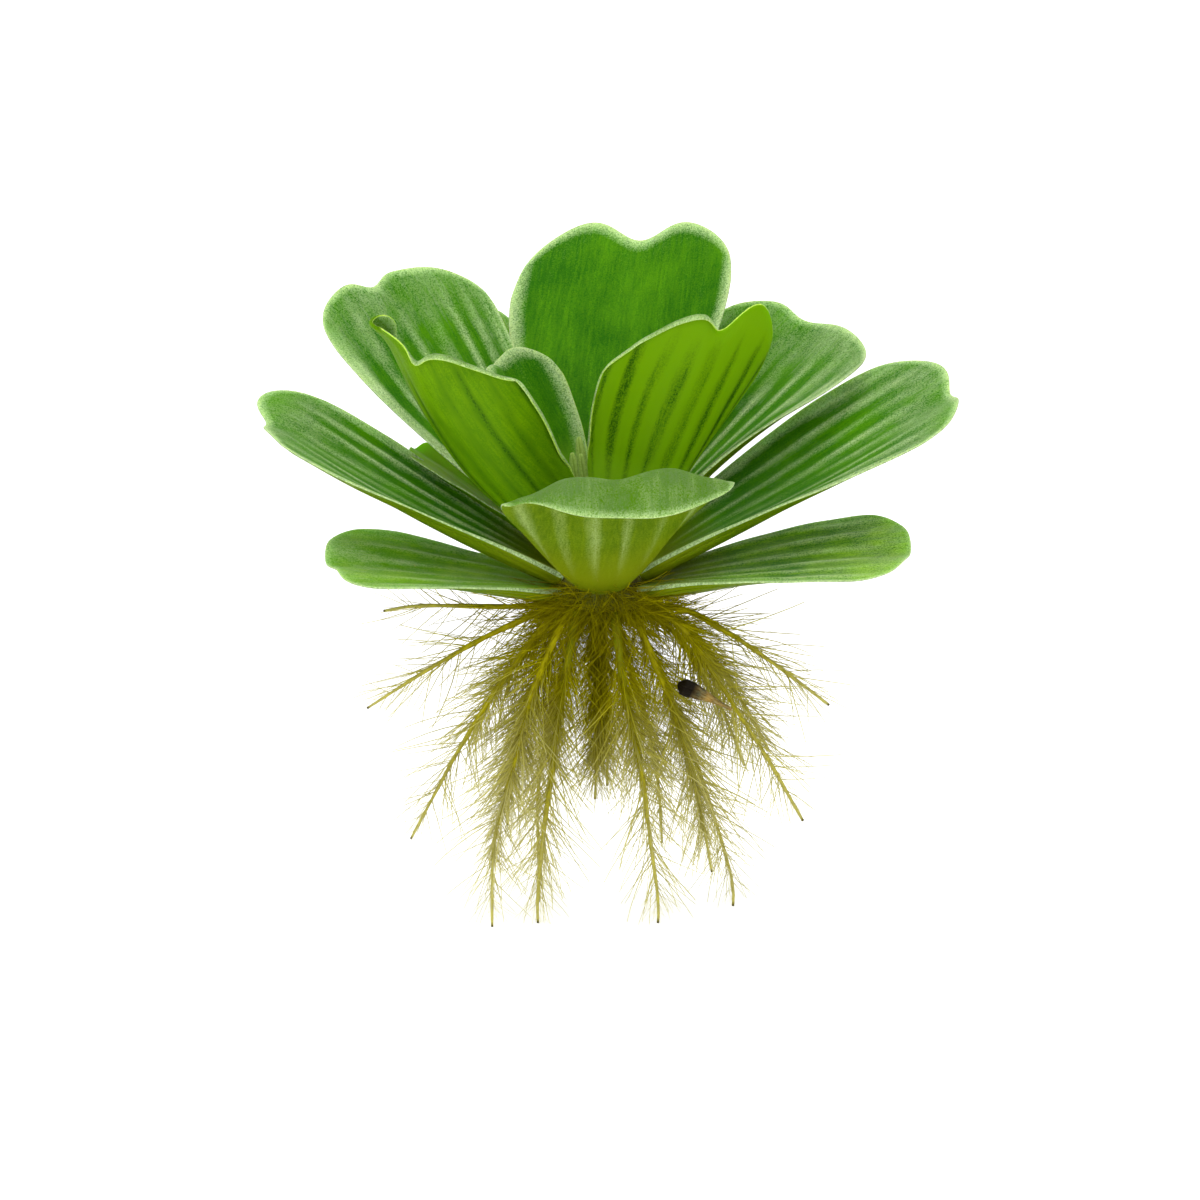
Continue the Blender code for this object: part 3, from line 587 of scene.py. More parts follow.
def crown_material():
    """Olive crown with pale hairs, darkened in the hollows of its relief as painted shade."""
    colours = bpy.context.scene.lettuce_root_colours
    hoar = bpy.context.scene.lettuce_leaf_colours.hoar
    material, t, shader = new_material("crown_skin", colours.crown)
    patch = t.group("Blotches", Scale=260.0).outputs["Patch"]
    velvet = t.group("Velvet", Scale=1600.0, Cover=0.45)
    # Painted shade: the low parts of the relief are darkened.
    base = t.mix(patch, colours.crease_shade_and_tip, colours.crown)
    base = t.mix(t.times(velvet.outputs["Hairs"], 0.12), base, hoar)
    t.feed(base, shader.inputs["Base Color"])
    t.feed(t.span(patch, 0.0, 1.0, 0.7, 0.5), shader.inputs["Roughness"])
    add_bump(t, shader, 0.5, 0.3, patch)
    set_shader(shader, Specular_IOR_Level=0.1)
    return material


def bud_material():
    """Pale fuzz over a yellow-green heart."""
    colours = bpy.context.scene.lettuce_leaf_colours
    material, t, shader = new_material("bud_fuzz", colours.bud)
    velvet = t.group("Velvet", Scale=2400.0, Cover=0.75)
    seam = t.attribute("ridge")
    base = t.mix(t.span(velvet.outputs["Hairs"], 0.0, 1.0, 0.35, 1.0), colours.bud_heart, colours.bud)
    base = t.mix(t.times(seam, 0.8), base, colours.bud_heart)
    t.feed(base, shader.inputs["Base Color"])
    add_bump(t, shader, 0.5, 0.15, velvet.outputs["Height"])
    set_shader(shader, Roughness=0.65, Sheen_Weight=0.1, Sheen_Roughness=0.5, Subsurface_Weight=0.3,
               Subsurface_Radius=(0.8, 1.0, 0.4), Subsurface_Scale=1.0 * MM)
    return material


def scrap_material():
    """Withered brown with black patches and thin ribs."""
    colours = bpy.context.scene.lettuce_root_colours
    material, t, shader = new_material("scrap_skin", colours.scrap)
    patch = t.group("Blotches", Scale=560.0, Shift=0.7).outputs["Patch"]
    lines = t.group("Veins", Across=22.0, Along=9.0).outputs["Lines"]
    base = t.mix(patch, colours.scrap_dark, colours.scrap)
    base = t.mix(t.times(lines, 0.35), base, colours.pale)
    base = t.mix(t.span(t.attribute("ridge"), 0.25, 0.55), colours.scrap_dark, base)
    t.feed(base, shader.inputs["Base Color"])
    add_bump(t, shader, 0.6, 0.3, lines)
    set_shader(shader, Roughness=0.6, Specular_IOR_Level=0.1)
    return material


def linked(name, data):
    """A new object in the scene."""
    thing = bpy.data.objects.new(name, data)
    bpy.context.scene.collection.objects.link(thing)
    return thing


def add_piece(name, mesh, node):
    """Links a finished mesh as a piece that stands for a node of the model."""
    piece = linked(name, mesh)
    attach(piece, "root")
    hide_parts(node)


def applied(worker):
    """The worker object's evaluated mesh as a new mesh. The worker is removed."""
    graph = bpy.context.evaluated_depsgraph_get()
    mesh = bpy.data.meshes.new_from_object(worker.evaluated_get(graph), depsgraph=graph)
    mesh.name = worker.name
    bpy.data.objects.remove(worker)
    return mesh


def crown_radius(z):
    for (r0, z0), (r1, z1) in zip(CROWN_PROFILE, CROWN_PROFILE[1:]):
        if z <= z1:
            return lerp(r0, r1, max(0.0, (z - z0) / (z1 - z0)))
    return CROWN_PROFILE[-1][0]


def heading(azimuth, rise):
    a, e = math.radians(azimuth), math.radians(rise)
    return Vector((math.cos(e) * math.cos(a), math.cos(e) * math.sin(a), math.sin(e)))


def leaf_sizes(name):
    leaf = dict(BLADE)
    leaf.update(LEAVES[name])
    if leaf["roll_tip"] is None:
        leaf["roll_tip"] = leaf["roll"]
    return leaf


def midrib(leaf):
    """Points and axes (along, across, up) down the middle of a leaf, from its foot to its tip."""
    a = math.radians(leaf["azimuth"])
    half_foot = 0.5 * leaf["thick_foot"] * math.sin(math.radians(leaf["rise"]))
    reach = crown_radius(leaf["seat"]) + JOIN_GAP + half_foot
    point = CROWN_AXIS + Vector((reach * math.cos(a), reach * math.sin(a), leaf["seat"]))
    line = []
    for i in range(MIDRIB_STEPS + 1):
        t = i / MIDRIB_STEPS
        curl = leaf["curl"] * smooth((t - leaf["curl_from"]) / (1.0 - leaf["curl_from"]))
        azimuth = leaf["azimuth"] + leaf["sweep"] * t
        along = heading(azimuth, lerp(leaf["rise"], leaf["rise_tip"], smooth(t)) - curl)
        b = math.radians(azimuth)
        across = Vector((-math.sin(b), math.cos(b), 0.0))
        up = along.cross(across)
        turn = Matrix.Rotation(math.radians(lerp(leaf["roll"], leaf["roll_tip"], smooth(t))), 3, along)
        line.append((point.copy(), along, turn @ across, turn @ up))
        point = point + along * (leaf["length"] / MIDRIB_STEPS)
    return line


def on_midrib(line, t):
    s = min(max(t, 0.0), 1.0) * (len(line) - 1)
    i = min(int(s), len(line) - 2)
    return [lerp(a, b, s - i) for a, b in zip(line[i], line[i + 1])]


def tip_reach(leaf, u):
    """How far along the midrib the edge lies at u, -1 to 1 across: two lobes and a notch."""
    round_end = (1.0 - abs(u) ** leaf["round"]) ** (1.0 / leaf["round"])
    dip = leaf["notch"] * math.exp(-((u - leaf["notch_at"]) / leaf["notch_width"]) ** 2)
    return leaf["shoulder"] + (1.0 - leaf["shoulder"]) * round_end + leaf["tilt"] * u * round_end - dip


def half_width(leaf, t):
    """The blade widens from its foot to its widest place, then narrows a little."""
    grow = math.sin(0.5 * math.pi * min(1.0, t / leaf["widest"])) ** leaf["swell"]
    past = max(0.0, t - leaf["widest"]) / (1.0 - leaf["widest"])
    return 0.5 * lerp(leaf["foot"], leaf["width"], grow) * (1.0 - 0.06 * past * past)


def pleat_at(leaf, u, t, seed):
    """Height and depth, 0 to 1, of the narrow pleats that run down the upper face and fade in the lobes."""
    shift = 0.05 * noise.noise(Vector((2.5 * t, 3.0 * u, seed)))
    wave = 0.5 - 0.5 * math.cos(math.pi * leaf["ridges"] * (u + shift))
    strength = 0.75 + 0.5 * noise.noise(Vector((4.0 * u, 1.5 * t, seed + 9.0)))
    fade = smooth(t * 5.0) * (1.0 - smooth((t - 0.62) / 0.36)) * smooth((1.0 - abs(u)) * 6.0)
    # The depth is the mask for the painted shade in the furrows.
    return wave ** 3.0 * strength * fade, (1.0 - wave) ** 2.0 * fade


def open_point(leaf, line, u, v, looks, seed):
    """A point of the upper face before its margin is rolled, the normal, and its pleats' height and depth."""
    t = v * tip_reach(leaf, u)
    point, along, across, up = on_midrib(line, t)
    half = half_width(leaf, t) * (1.0 + leaf["skew"] * u)
    cup = math.radians(lerp(leaf["cup"], leaf["cup_tip"], t))
    if abs(cup) < 0.01:
        cup = 0.01
    side = half * math.sin(cup * u) / cup
    ridge, furrow = pleat_at(leaf, u, t, seed)
    lobes = leaf["lobe"] * (math.cos(2.0 * math.pi * u) - 1.0) * smooth((t - 0.4) / 0.6)
    wave = noise.noise(Vector((1.2 * u, 5.0 * t, seed + 3.0))) * abs(u) ** 2 * smooth(t * 2.5)
    rise = half * (1.0 - math.cos(cup * u)) / cup + wave * looks.ruffle / MM
    rise += ridge * leaf["ridge"] * looks.ridge_height / MM - lobes * (1.0 - abs(u))
    normal = up * math.cos(cup * u) - across * math.sin(cup * u)
    return point + across * side + up * rise, normal, ridge, furrow


def blade_point(leaf, line, u, v, looks, seed):
    """A point of the upper face, rolled where it has a lip, and its pleats' height and depth."""
    at, normal, ridge, furrow = open_point(leaf, line, u, v, looks, seed)
    for start, stop, wide, deep, turn, above in leaf["lips"]:
        over = max((abs(u) - 1.0 + wide) / wide, (v - 1.0 + deep) / deep)
        reach = smooth((u - start) / 0.15) * smooth((stop - u) / 0.15) * smooth((v - above) * 4.0)
        angle = math.radians(turn) * reach * min(over, 1.0)
        if over <= 0.0 or abs(angle) < 0.01:
            continue
        inner = math.copysign(min(abs(u), 1.0 - wide), u)
        level = v * tip_reach(leaf, u) / tip_reach(leaf, inner)
        base, normal, _, _ = open_point(leaf, line, inner, min(level, 1.0 - deep), looks, seed)
        outward = at - base
        outward -= normal * outward.dot(normal)
        arc = (at - base).length / angle
        at = base + outward.normalized() * arc * math.sin(angle) - normal * arc * (1.0 - math.cos(angle))
    return at, ridge, furrow


def thickness(leaf, u, v, looks):
    """Spongy at the foot, thin in the blade and thinnest at the edge."""
    edge = looks.edge / MM
    body = lerp(leaf["thick_foot"], looks.blade / MM, smooth(v * 1.6))
    return lerp(body, edge, smooth(max(abs(u) ** 3 * (0.5 + 0.5 * v), (v - 0.9) * 10.0)))


def make_blade(name):
    """A fine grid over the midrib, thickened with Solidify and smoothed once."""
    looks = bpy.context.scene.lettuce_leaves
    leaf = leaf_sizes(name)
    line = midrib(leaf)
    seed = looks.seed + sum(ord(c) for c in name) * 0.37
    columns, rows = looks.columns, looks.rows
    thickest = max(leaf["thick_foot"], looks.blade / MM)
    bm = bmesh.new()
    uv = bm.loops.layers.uv.new("UVMap")
    layers = {key: bm.verts.layers.float.new(key)
              for key in ("ridge", "furrow", "end", "margin_mm", "foot_mm")}
    weights = bm.verts.layers.deform.new()
    grid, places = [], {}
    for j in range(-1, rows + 1):
        row = []
        v = 1.0 - (1.0 - max(j, 0) / rows) ** 1.25
        for i in range(columns + 1):
            s = 2.0 * i / columns - 1.0
            u = lerp(s, math.sin(0.5 * math.pi * s), 0.6)
            at, ridge, furrow = blade_point(leaf, line, u, v, looks, seed)
            if j < 0:
                at = at - line[0][1] * (looks.sink / MM)
            vert = bm.verts.new(at * MM)
            t = v * tip_reach(leaf, u)
            half = half_width(leaf, t)
            vert[layers["ridge"]] = ridge
            vert[layers["furrow"]] = furrow
            vert[layers["end"]] = v
            to_end = leaf["length"] * (1.0 - v) * tip_reach(leaf, u)
            vert[layers["margin_mm"]] = min(half * (1.0 - abs(u)), to_end)
            vert[layers["foot_mm"]] = t * leaf["length"]
            vert[weights][0] = thickness(leaf, u, v, looks) / thickest
            places[vert] = (0.5 + u * half / leaf["width"], t)
            row.append(vert)
        grid.append(row)
    for lower, higher in zip(grid, grid[1:]):
        for a, b, c, d in zip(lower, lower[1:], higher[1:], higher):
            face = bm.faces.new((a, b, c, d))
            face.smooth = True
            for loop in face.loops:
                loop[uv].uv = places[loop.vert]
    bm.faces.ensure_lookup_table()
    bm.normal_update()
    middle = on_midrib(line, 0.4)[3]
    if sum(f.normal.dot(middle) for f in bm.faces) < 0.0:
        bmesh.ops.reverse_faces(bm, faces=bm.faces)
    mesh = bpy.data.meshes.new("fine_" + name)
    bm.to_mesh(mesh)
    bm.free()
    for key in ("upper", "under"):
        mesh.materials.append(shared_material(leaf[key], face_material))
    mesh.materials.append(shared_material(leaf["rim"], rim_material))
    worker = linked("fine_" + name, mesh)
    worker.vertex_groups.new(name="thickness")
    wall = worker.modifiers.new("Solidify", "SOLIDIFY")
    wall.thickness = thickest * MM
    wall.offset = -1.0
    wall.vertex_group = "thickness"
    wall.material_offset = 1
    wall.material_offset_rim = 2
    soft = worker.modifiers.new("Subdivision", "SUBSURF")
    soft.levels = soft.render_levels = 1
    add_piece("fine_" + name, applied(worker), name)


def root_start(first):
    """Where a root leaves the crown, on the side that faces its first point."""
    away = Vector((first[0], first[1], 0.0)) - CROWN_AXIS
    steep = smooth((65.0 - first[2]) / 12.0)
    z = lerp(65.2, 62.8, steep)
    out = away.normalized()
    reach = crown_radius(z) + JOIN_GAP + ROOT_RADIUS * (0.2 + 0.8 * steep)
    return CROWN_AXIS + Vector((out.x * reach, out.y * reach, z))


def root_line(name):
    """A smooth line through the root's own points, with its first stretch inside the crown."""
    own = [Vector(p) for p in ROOTS[name]]
    own.insert(0, root_start(ROOTS[name][0]))
    fine = []
    for i in range(len(own) - 1):
        p0, p1, p2, p3 = own[max(i - 1, 0)], own[i], own[i + 1], own[min(i + 2, len(own) - 1)]
        for k in range(STRETCH_STEPS):
            t = k / STRETCH_STEPS
            fine.append(0.5 * ((2.0 * p1) + (p2 - p0) * t + (2.0 * p0 - 5.0 * p1 + 4.0 * p2 - p3) * t * t
                               + (3.0 * p1 - 3.0 * p2 + p3 - p0) * t ** 3))
    fine.append(own[-1])
    inward = (CROWN_AXIS + Vector((0.0, 0.0, own[0].z + 1.5)) - own[0]).normalized()
    fine.insert(0, own[0] + inward * 3.0)
    return fine


def random_value(t, low, high, seed, shift):
    node = t.add("FunctionNodeRandomValue", {"Min_001": low, "Max_001": high,
                                             "Seed": t.plus(seed, shift)})
    return t.find(node.outputs, "Value_001")


def stored(t, geometry, name, value):
    return t.add("GeometryNodeStoreNamedAttribute", {"Geometry": geometry, "Name": name, "Value": value},
                 data_type="FLOAT", domain="POINT").outputs[0]


def hair_shape(t, bend):
    """A thin tapered hair one metre long, to be scaled, bent back towards the root's tip."""
    line = t.add("GeometryNodeCurvePrimitiveLine", {"Start": (0.0, 0.0, 0.0), "End": (0.0, 0.0, 1.0)})
    line = t.add("GeometryNodeResampleCurve", {"Curve": line.outputs[0], "Count": HAIR_POINTS})
    factor = t.add("GeometryNodeSplineParameter").outputs["Factor"]
    sideways = t.times(t.math("POWER", factor, 2.0), -bend)
    bent = t.add("GeometryNodeSetPosition", {
        "Geometry": line.outputs[0],
        "Offset": t.add("ShaderNodeCombineXYZ", {"X": sideways}).outputs[0]})
    kept = stored(t, bent.outputs[0], "tip", factor)
    ring = t.add("GeometryNodeCurvePrimitiveCircle", {"Resolution": HAIR_SIDES, "Radius": 1.0})
    width = t.span(factor, 0.0, 1.0, HAIR_FOOT, HAIR_END)
    hair = t.add("GeometryNodeCurveToMesh", {"Curve": kept, "Profile Curve": ring.outputs[0], "Scale": width,
                                             "Fill Caps": True})
    return hair.outputs[0]


def grown_hairs(t, points, turned, length, seed, shift, wave):
    """A hair on every point, of one of four bends, made real, with its end astray but above the floor."""
    kinds = t.join(*[t.add("GeometryNodeGeometryToInstance", {0: hair_shape(t, bend)}).outputs[0]
                     for bend in HAIR_BENDS])
    pick = t.add("FunctionNodeRandomValue", {"Min_002": 0, "Max_002": 3,
                                             "Seed": t.plus(seed, shift)}, data_type="INT")
    hairs = t.add("GeometryNodeInstanceOnPoints", {
        "Points": points, "Instance": kinds, "Pick Instance": True,
        "Instance Index": t.find(pick.outputs, "Value_002"), "Rotation": turned, "Scale": length})
    real = t.add("GeometryNodeRealizeInstances", {"Geometry": hairs.outputs[0]}).outputs[0]
    tip = t.add("GeometryNodeInputNamedAttribute", {"Name": "tip"}, data_type="FLOAT").outputs[0]
    stray = t.add("ShaderNodeTexNoise", {"Scale": 140.0, "Detail": 1.0}).outputs["Color"]
    stray = t.scale(t.vector("SUBTRACT", stray, (0.5, 0.5, 0.5)), t.times(tip, wave))
    moved = t.add("GeometryNodeSetPosition", {"Geometry": real, "Offset": stray}).outputs[0]
    place = t.add("ShaderNodeSeparateXYZ", {0: t.add("GeometryNodeInputPosition").outputs[0]}).outputs
    above = t.add("ShaderNodeCombineXYZ", {"X": place["X"], "Y": place["Y"],
                                           "Z": t.math("MAXIMUM", place["Z"], ABOVE_FLOOR)}).outputs[0]
    return t.add("GeometryNodeSetPosition", {"Geometry": moved, "Position": above}).outputs[0]


def lay_hairs(t, curve, count, length, angle, seed, shift, profile, wave):
    """Hairs round a curve, leaning towards its end; profile is their length along it, from 0 to 1."""
    points = t.add("GeometryNodeCurveToPoints", {"Curve": curve, "Count": count}, mode="COUNT")
    spread = stored(t, points.outputs["Points"], "each", random_value(t, 0.0, 1.0, seed, shift))
    straight = t.add("FunctionNodeAlignRotationToVector", {"Vector": points.outputs["Tangent"]}, axis="Z")
    spin = t.add("FunctionNodeAxisAngleToRotation", {
        "Axis": (0.0, 0.0, 1.0), "Angle": random_value(t, 0.0, 2.0 * math.pi, seed, shift + 1)})
    lean = t.add("FunctionNodeAxisAngleToRotation", {
        "Axis": (0.0, 1.0, 0.0),
        "Angle": t.times(angle, random_value(t, 0.6, 1.45, seed, shift + 2))})
    turned = straight.outputs[0]
    for by in (spin, lean):
        turned = t.add("FunctionNodeRotateRotation", {"Rotation": turned, "Rotate By": by.outputs[0]},
                       rotation_space="LOCAL").outputs[0]
    place = t.add("GeometryNodeInputNamedAttribute", {"Name": "way"}, data_type="FLOAT").outputs[0]
    shape = t.add("ShaderNodeFloatCurve", {"Value": place})
    curve_points = shape.mapping.curves[0].points
    curve_points[0].location, curve_points[1].location = profile[0], profile[-1]
    for x, y in profile[1:-1]:
        curve_points.new(x, y)
    shape.mapping.update()
    long = t.times(t.times(shape.outputs[0], length), random_value(t, 0.45, 1.15, seed, shift + 3))
    return grown_hairs(t, spread, turned, long, seed, shift + 4, wave)


def geometry_tree(name, source, sockets, result):
    """A new geometry node tree with its named sockets, and its Tree, inputs and output node."""
    tree = bpy.data.node_groups.new(name, "GeometryNodeTree")
    tree.interface.new_socket(source, in_out="INPUT", socket_type="NodeSocketGeometry")
    for kind, labels in sockets:
        for label in labels:
            tree.interface.new_socket(label, in_out="INPUT", socket_type="NodeSocket" + kind)
    tree.interface.new_socket(result, in_out="OUTPUT", socket_type="NodeSocketGeometry")
    t = Tree(tree)
    return t, t.add("NodeGroupInput").outputs, t.add("NodeGroupOutput")


def mat_tree():
    """Geometry nodes for the crown: a mat of young rootlets that spread from its lower part."""
    t, given, out = geometry_tree("Young rootlets", "Crown", (
        ("Float", ("Density", "Lowest", "Highest", "Shortest", "Longest", "Wave")), ("Int", ("Seed",)),
        ("Material", ("Rootlet",))), "Matted crown")
    place = t.add("GeometryNodeInputPosition").outputs[0]
    height = t.add("ShaderNodeSeparateXYZ", {0: place}).outputs["Z"]
    band = t.times(t.math("GREATER_THAN", height, given["Lowest"]),
                   t.math("LESS_THAN", height, given["Highest"]))
    points = t.add("GeometryNodeDistributePointsOnFaces", {
        "Mesh": given["Crown"], "Selection": band, "Density": given["Density"], "Seed": given["Seed"]})
    spread = stored(t, points.outputs["Points"], "each", random_value(t, 0.0, 1.0, given["Seed"], 1))
    away = t.vector("MULTIPLY", t.vector("SUBTRACT", place, tuple(CROWN_AXIS * MM)), (1.0, 1.0, 0.0))
    stray = t.add("FunctionNodeRandomValue", {"Min": (-0.7, -0.7, -1.0), "Max": (0.7, 0.7, 0.25),
                                              "Seed": t.plus(given["Seed"], 2)}, data_type="FLOAT_VECTOR")
    way = t.vector("ADD", t.vector("NORMALIZE", away), t.find(stray.outputs, "Value"))
    turned = t.add("FunctionNodeAlignRotationToVector", {"Vector": way}, axis="Z").outputs[0]
    long = random_value(t, given["Shortest"], given["Longest"], given["Seed"], 3)
    hairs = grown_hairs(t, spread, turned, long, given["Seed"], 4, given["Wave"])
    hairs = t.add("GeometryNodeSetMaterial", {"Geometry": hairs, "Material": given["Rootlet"]}).outputs[0]
    t.feed(t.join(hairs, given["Crown"]), out.inputs[0])
    return t.tree


def feather_tree():
    """Geometry nodes for a root: a tapered tube, rootlets all along it and a tuft of finer ones."""
    t, given, out = geometry_tree("Feathery root", "Line", (
        ("Float", ("Foot radius", "Tip radius", "Rootlet length", "Tuft length", "Tuft from", "Tuft to",
                   "Angle", "Wave")),
        ("Int", ("Rootlets", "Tuft rootlets", "Seed")), ("Material", ("Bark", "Rootlet"))), "Root")
    curve = t.add("GeometryNodeMeshToCurve", {0: given["Line"]}).outputs[0]
    curve = t.add("GeometryNodeResampleCurve", {"Curve": curve, "Count": TUBE_STEPS}).outputs[0]
    factor = t.add("GeometryNodeSplineParameter").outputs["Factor"]
    curve = stored(t, curve, "way", factor)
    ring = t.add("GeometryNodeCurvePrimitiveCircle", {"Resolution": TUBE_SIDES, "Radius": 1.0})
    knots = t.grain(None, 220.0, 2.0)
    width = t.span(t.math("POWER", factor, 0.7), 0.0, 1.0, given["Foot radius"], given["Tip radius"])
    width = t.times(width, t.span(knots, 0.3, 0.7, 0.85, 1.2))
    tube = t.add("GeometryNodeCurveToMesh", {"Curve": curve, "Profile Curve": ring.outputs[0], "Scale": width,
                                             "Fill Caps": True}).outputs[0]
    tube = t.add("GeometryNodeSetShadeSmooth", {0: tube}).outputs[0]
    tube = t.add("GeometryNodeSetMaterial", {"Geometry": tube, "Material": given["Bark"]}).outputs[0]
    hairs = lay_hairs(t, curve, given["Rootlets"], given["Rootlet length"], given["Angle"], given["Seed"], 1,
                      ROOTLET_PROFILE, given["Wave"])
    piece_of = t.add("GeometryNodeTrimCurve", {"Curve": curve, "Start": given["Tuft from"],
                                               "End": given["Tuft to"]}, mode="FACTOR").outputs[0]
    tuft = lay_hairs(t, piece_of, given["Tuft rootlets"], given["Tuft length"], given["Angle"], given["Seed"],
                     20, TUFT_PROFILE, given["Wave"])
    fine = t.add("GeometryNodeSetMaterial", {"Geometry": t.join(hairs, tuft), "Material": given["Rootlet"]})
    t.feed(t.join(fine.outputs[0], tube), out.inputs[0])
    return t.tree


def set_inputs(modifier, values):
    """Sets a geometry nodes modifier's inputs, named as in its tree, by their identifiers."""
    for item in modifier.node_group.interface.items_tree:
        if item.item_type == "SOCKET" and item.in_out == "INPUT" and item.name in values:
            modifier[item.identifier] = values[item.name]


def make_root(name, tree, bark, rootlet):
    sizes = bpy.context.scene.lettuce_roots
    line = root_line(name)
    mesh = bpy.data.meshes.new("fine_" + name)
    mesh.from_pydata([tuple(p * MM) for p in line], [(i, i + 1) for i in range(len(line) - 1)], [])
    worker = linked("fine_" + name, mesh)
    start, end, hairs = TUFTS.get(name, (0.0, 1.0, 0))
    grow = worker.modifiers.new("Feathers", "NODES")
    grow.node_group = tree
    girth = GREEN_ROOT_GIRTH if name in GREEN_ROOTS else 1.0
    set_inputs(grow, {
        "Foot radius": sizes.foot * girth, "Tip radius": sizes.tip,
        "Rootlets": ROOTLETS.get(name, ROOTLETS_ELSEWHERE), "Rootlet length": sizes.length,
        "Tuft rootlets": hairs, "Tuft length": sizes.tuft_length, "Tuft from": start, "Tuft to": end,
        "Angle": sizes.angle, "Wave": sizes.wave, "Seed": sizes.seed + 40 * int(name[-2:]),
        "Bark": bark, "Rootlet": rootlet})
    add_piece("fine_" + name, applied(worker), name)


def turned_form(name, radius_at, heights, segments, axis, ridge=None):
    """A closed form of rings round an upright axis. radius_at(angle, share) gives millimetres."""
    bm = bmesh.new()
    layer = bm.verts.layers.float.new("ridge")
    uv = bm.loops.layers.uv.new("UVMap")
    rings, places = [], {}
    for k, z in enumerate(heights):
        share = k / (len(heights) - 1)
        ring = []
        for i in range(segments):
            angle = 2.0 * math.pi * i / segments
            r = radius_at(angle, share)
            vert = bm.verts.new((axis + Vector((r * math.cos(angle), r * math.sin(angle), z))) * MM)
            vert[layer] = ridge(angle, share) if ridge else share
            places[vert] = (i / segments, share)
            ring.append(vert)
        rings.append(ring)
    for low, high in zip(rings, rings[1:]):
        for i in range(segments):
            j = (i + 1) % segments
            bm.faces.new((low[i], low[j], high[j], high[i]))
    bm.faces.new(list(reversed(rings[0])))
    bm.faces.new(rings[-1])
    for face in bm.faces:
        face.smooth = True
        for loop in face.loops:
            loop[uv].uv = places[loop.vert]
    bmesh.ops.recalc_face_normals(bm, faces=bm.faces)
    mesh = bpy.data.meshes.new(name)
    bm.to_mesh(mesh)
    bm.free()
    return mesh


def make_crown():
    """The crown, with the overlapping scars of old leaf bases and a mat of young rootlets."""
    low, high = CROWN_PROFILE[0][1], CROWN_PROFILE[-1][1] + 0.4
    steps = 60
    heights = [lerp(low, high, k / steps) for k in range(steps + 1)]

    def radius(angle, share):
        z = lerp(low, high, share)
        scars = abs(math.sin(2.5 * angle + 16.0 * share)) * 0.5
        grain = noise.noise(Vector((3.0 * math.cos(angle), 3.0 * math.sin(angle), 14.0 * share)))
        closed = min(1.0, 6.0 * share + 0.35, 10.0 * (1.0 - share) + 0.3)
        return (crown_radius(z) + 0.45 * scars + 0.5 * grain - 0.4) * closed

    mesh = turned_form("fine_crown", radius, heights, 72, CROWN_AXIS)
    mesh.materials.append(crown_material())
    worker = linked("fine_crown", mesh)
    sizes = bpy.context.scene.lettuce_roots
    grow = worker.modifiers.new("Young rootlets", "NODES")
    grow.node_group = mat_tree()
    set_inputs(grow, {"Density": sizes.mat_density, "Lowest": MAT_FROM, "Highest": MAT_TO,
                      "Shortest": sizes.mat_shortest, "Longest": sizes.mat_longest, "Wave": sizes.wave,
                      "Seed": sizes.seed, "Rootlet": shared_material("rootlet", rootlet_material)})
    add_piece("fine_crown", applied(worker), "crown")


def stand(mesh, foot, along, flat, spin=0.0):
    """Turns an upright form to lie along a line from its foot, flattened and spun about its own axis."""
    turn = along.to_track_quat("Z", "Y").to_matrix().to_4x4()
    squash = Matrix.Diagonal((1.0, flat, 1.0, 1.0))
    mesh.transform(Matrix.Translation(Vector(foot) * MM) @ turn @ squash @ Matrix.Rotation(spin, 4, "Z"))


def make_bud(name, material):
    """A furled young leaf: one margin laps over the other down the side."""
    foot, tip, width = BUDS[name]
    along = Vector(tip) - Vector(foot)
    steps = 28

    def radius(angle, share):
        belly = math.sin(math.pi * min(0.97, max(0.03, share))) ** 0.6 * (1.0 - 0.3 * smooth(share))
        lap = 0.84 + 0.22 * angle / (2.0 * math.pi)
        return 0.5 * width * belly * lap

    heights = [along.length * (0.5 - 0.5 * math.cos(math.pi * k / steps)) for k in range(steps + 1)]
    mesh = turned_form("fine_" + name, radius, heights, 48, Vector((0.0, 0.0, 0.0)),
                       lambda angle, share: smooth((0.5 - angle) / 0.5) if angle < 0.5 else 0.0)
    stand(mesh, foot, along, 0.8, math.radians(-60))
    mesh.materials.append(material)
    add_piece("fine_" + name, mesh, name)


def make_scrap():
    """The withered scrap: a creased scroll that narrows to a ribbed tail."""
    along = SCRAP_TO - SCRAP_FROM
    steps = 40

    def radius(angle, share):
        body = lerp(1.0, 0.18, smooth(share)) * min(1.0, 8.0 * share + 0.25)
        crease = 1.0 + 0.16 * math.sin(3.0 * angle + 5.0 * share) + 0.06 * math.sin(11.0 * angle)
        grain = 1.0 + 0.15 * noise.noise(Vector((math.cos(angle) * 2.0, math.sin(angle) * 2.0, share * 6.0)))
        return 0.5 * SCRAP_WIDTH * body * crease * grain

    heights = [along.length * k / steps for k in range(steps + 1)]
    mesh = turned_form("fine_withered_scrap", radius, heights, 40, Vector((0.0, 0.0, 0.0)))
    stand(mesh, SCRAP_FROM, along, 0.7)
    mesh.materials.append(scrap_material())
    add_piece("fine_withered_scrap", mesh, "withered_scrap")


class LETTUCE_OT_leaves(bpy.types.Operator):
    """Make every leaf blade"""

    bl_idname = "lettuce.leaves"
    bl_label = "Leaves"

    def execute(self, context):
        for name in LEAVES:
            make_blade(name)
        return {"FINISHED"}


class LETTUCE_OT_heart(bpy.types.Operator):
    """Make the crown and the buds in its heart"""

    bl_idname = "lettuce.heart"
    bl_label = "Crown and Buds"

    def execute(self, context):
        make_crown()
        fuzz = bud_material()
        for name in BUDS:
            make_bud(name, fuzz)
        return {"FINISHED"}


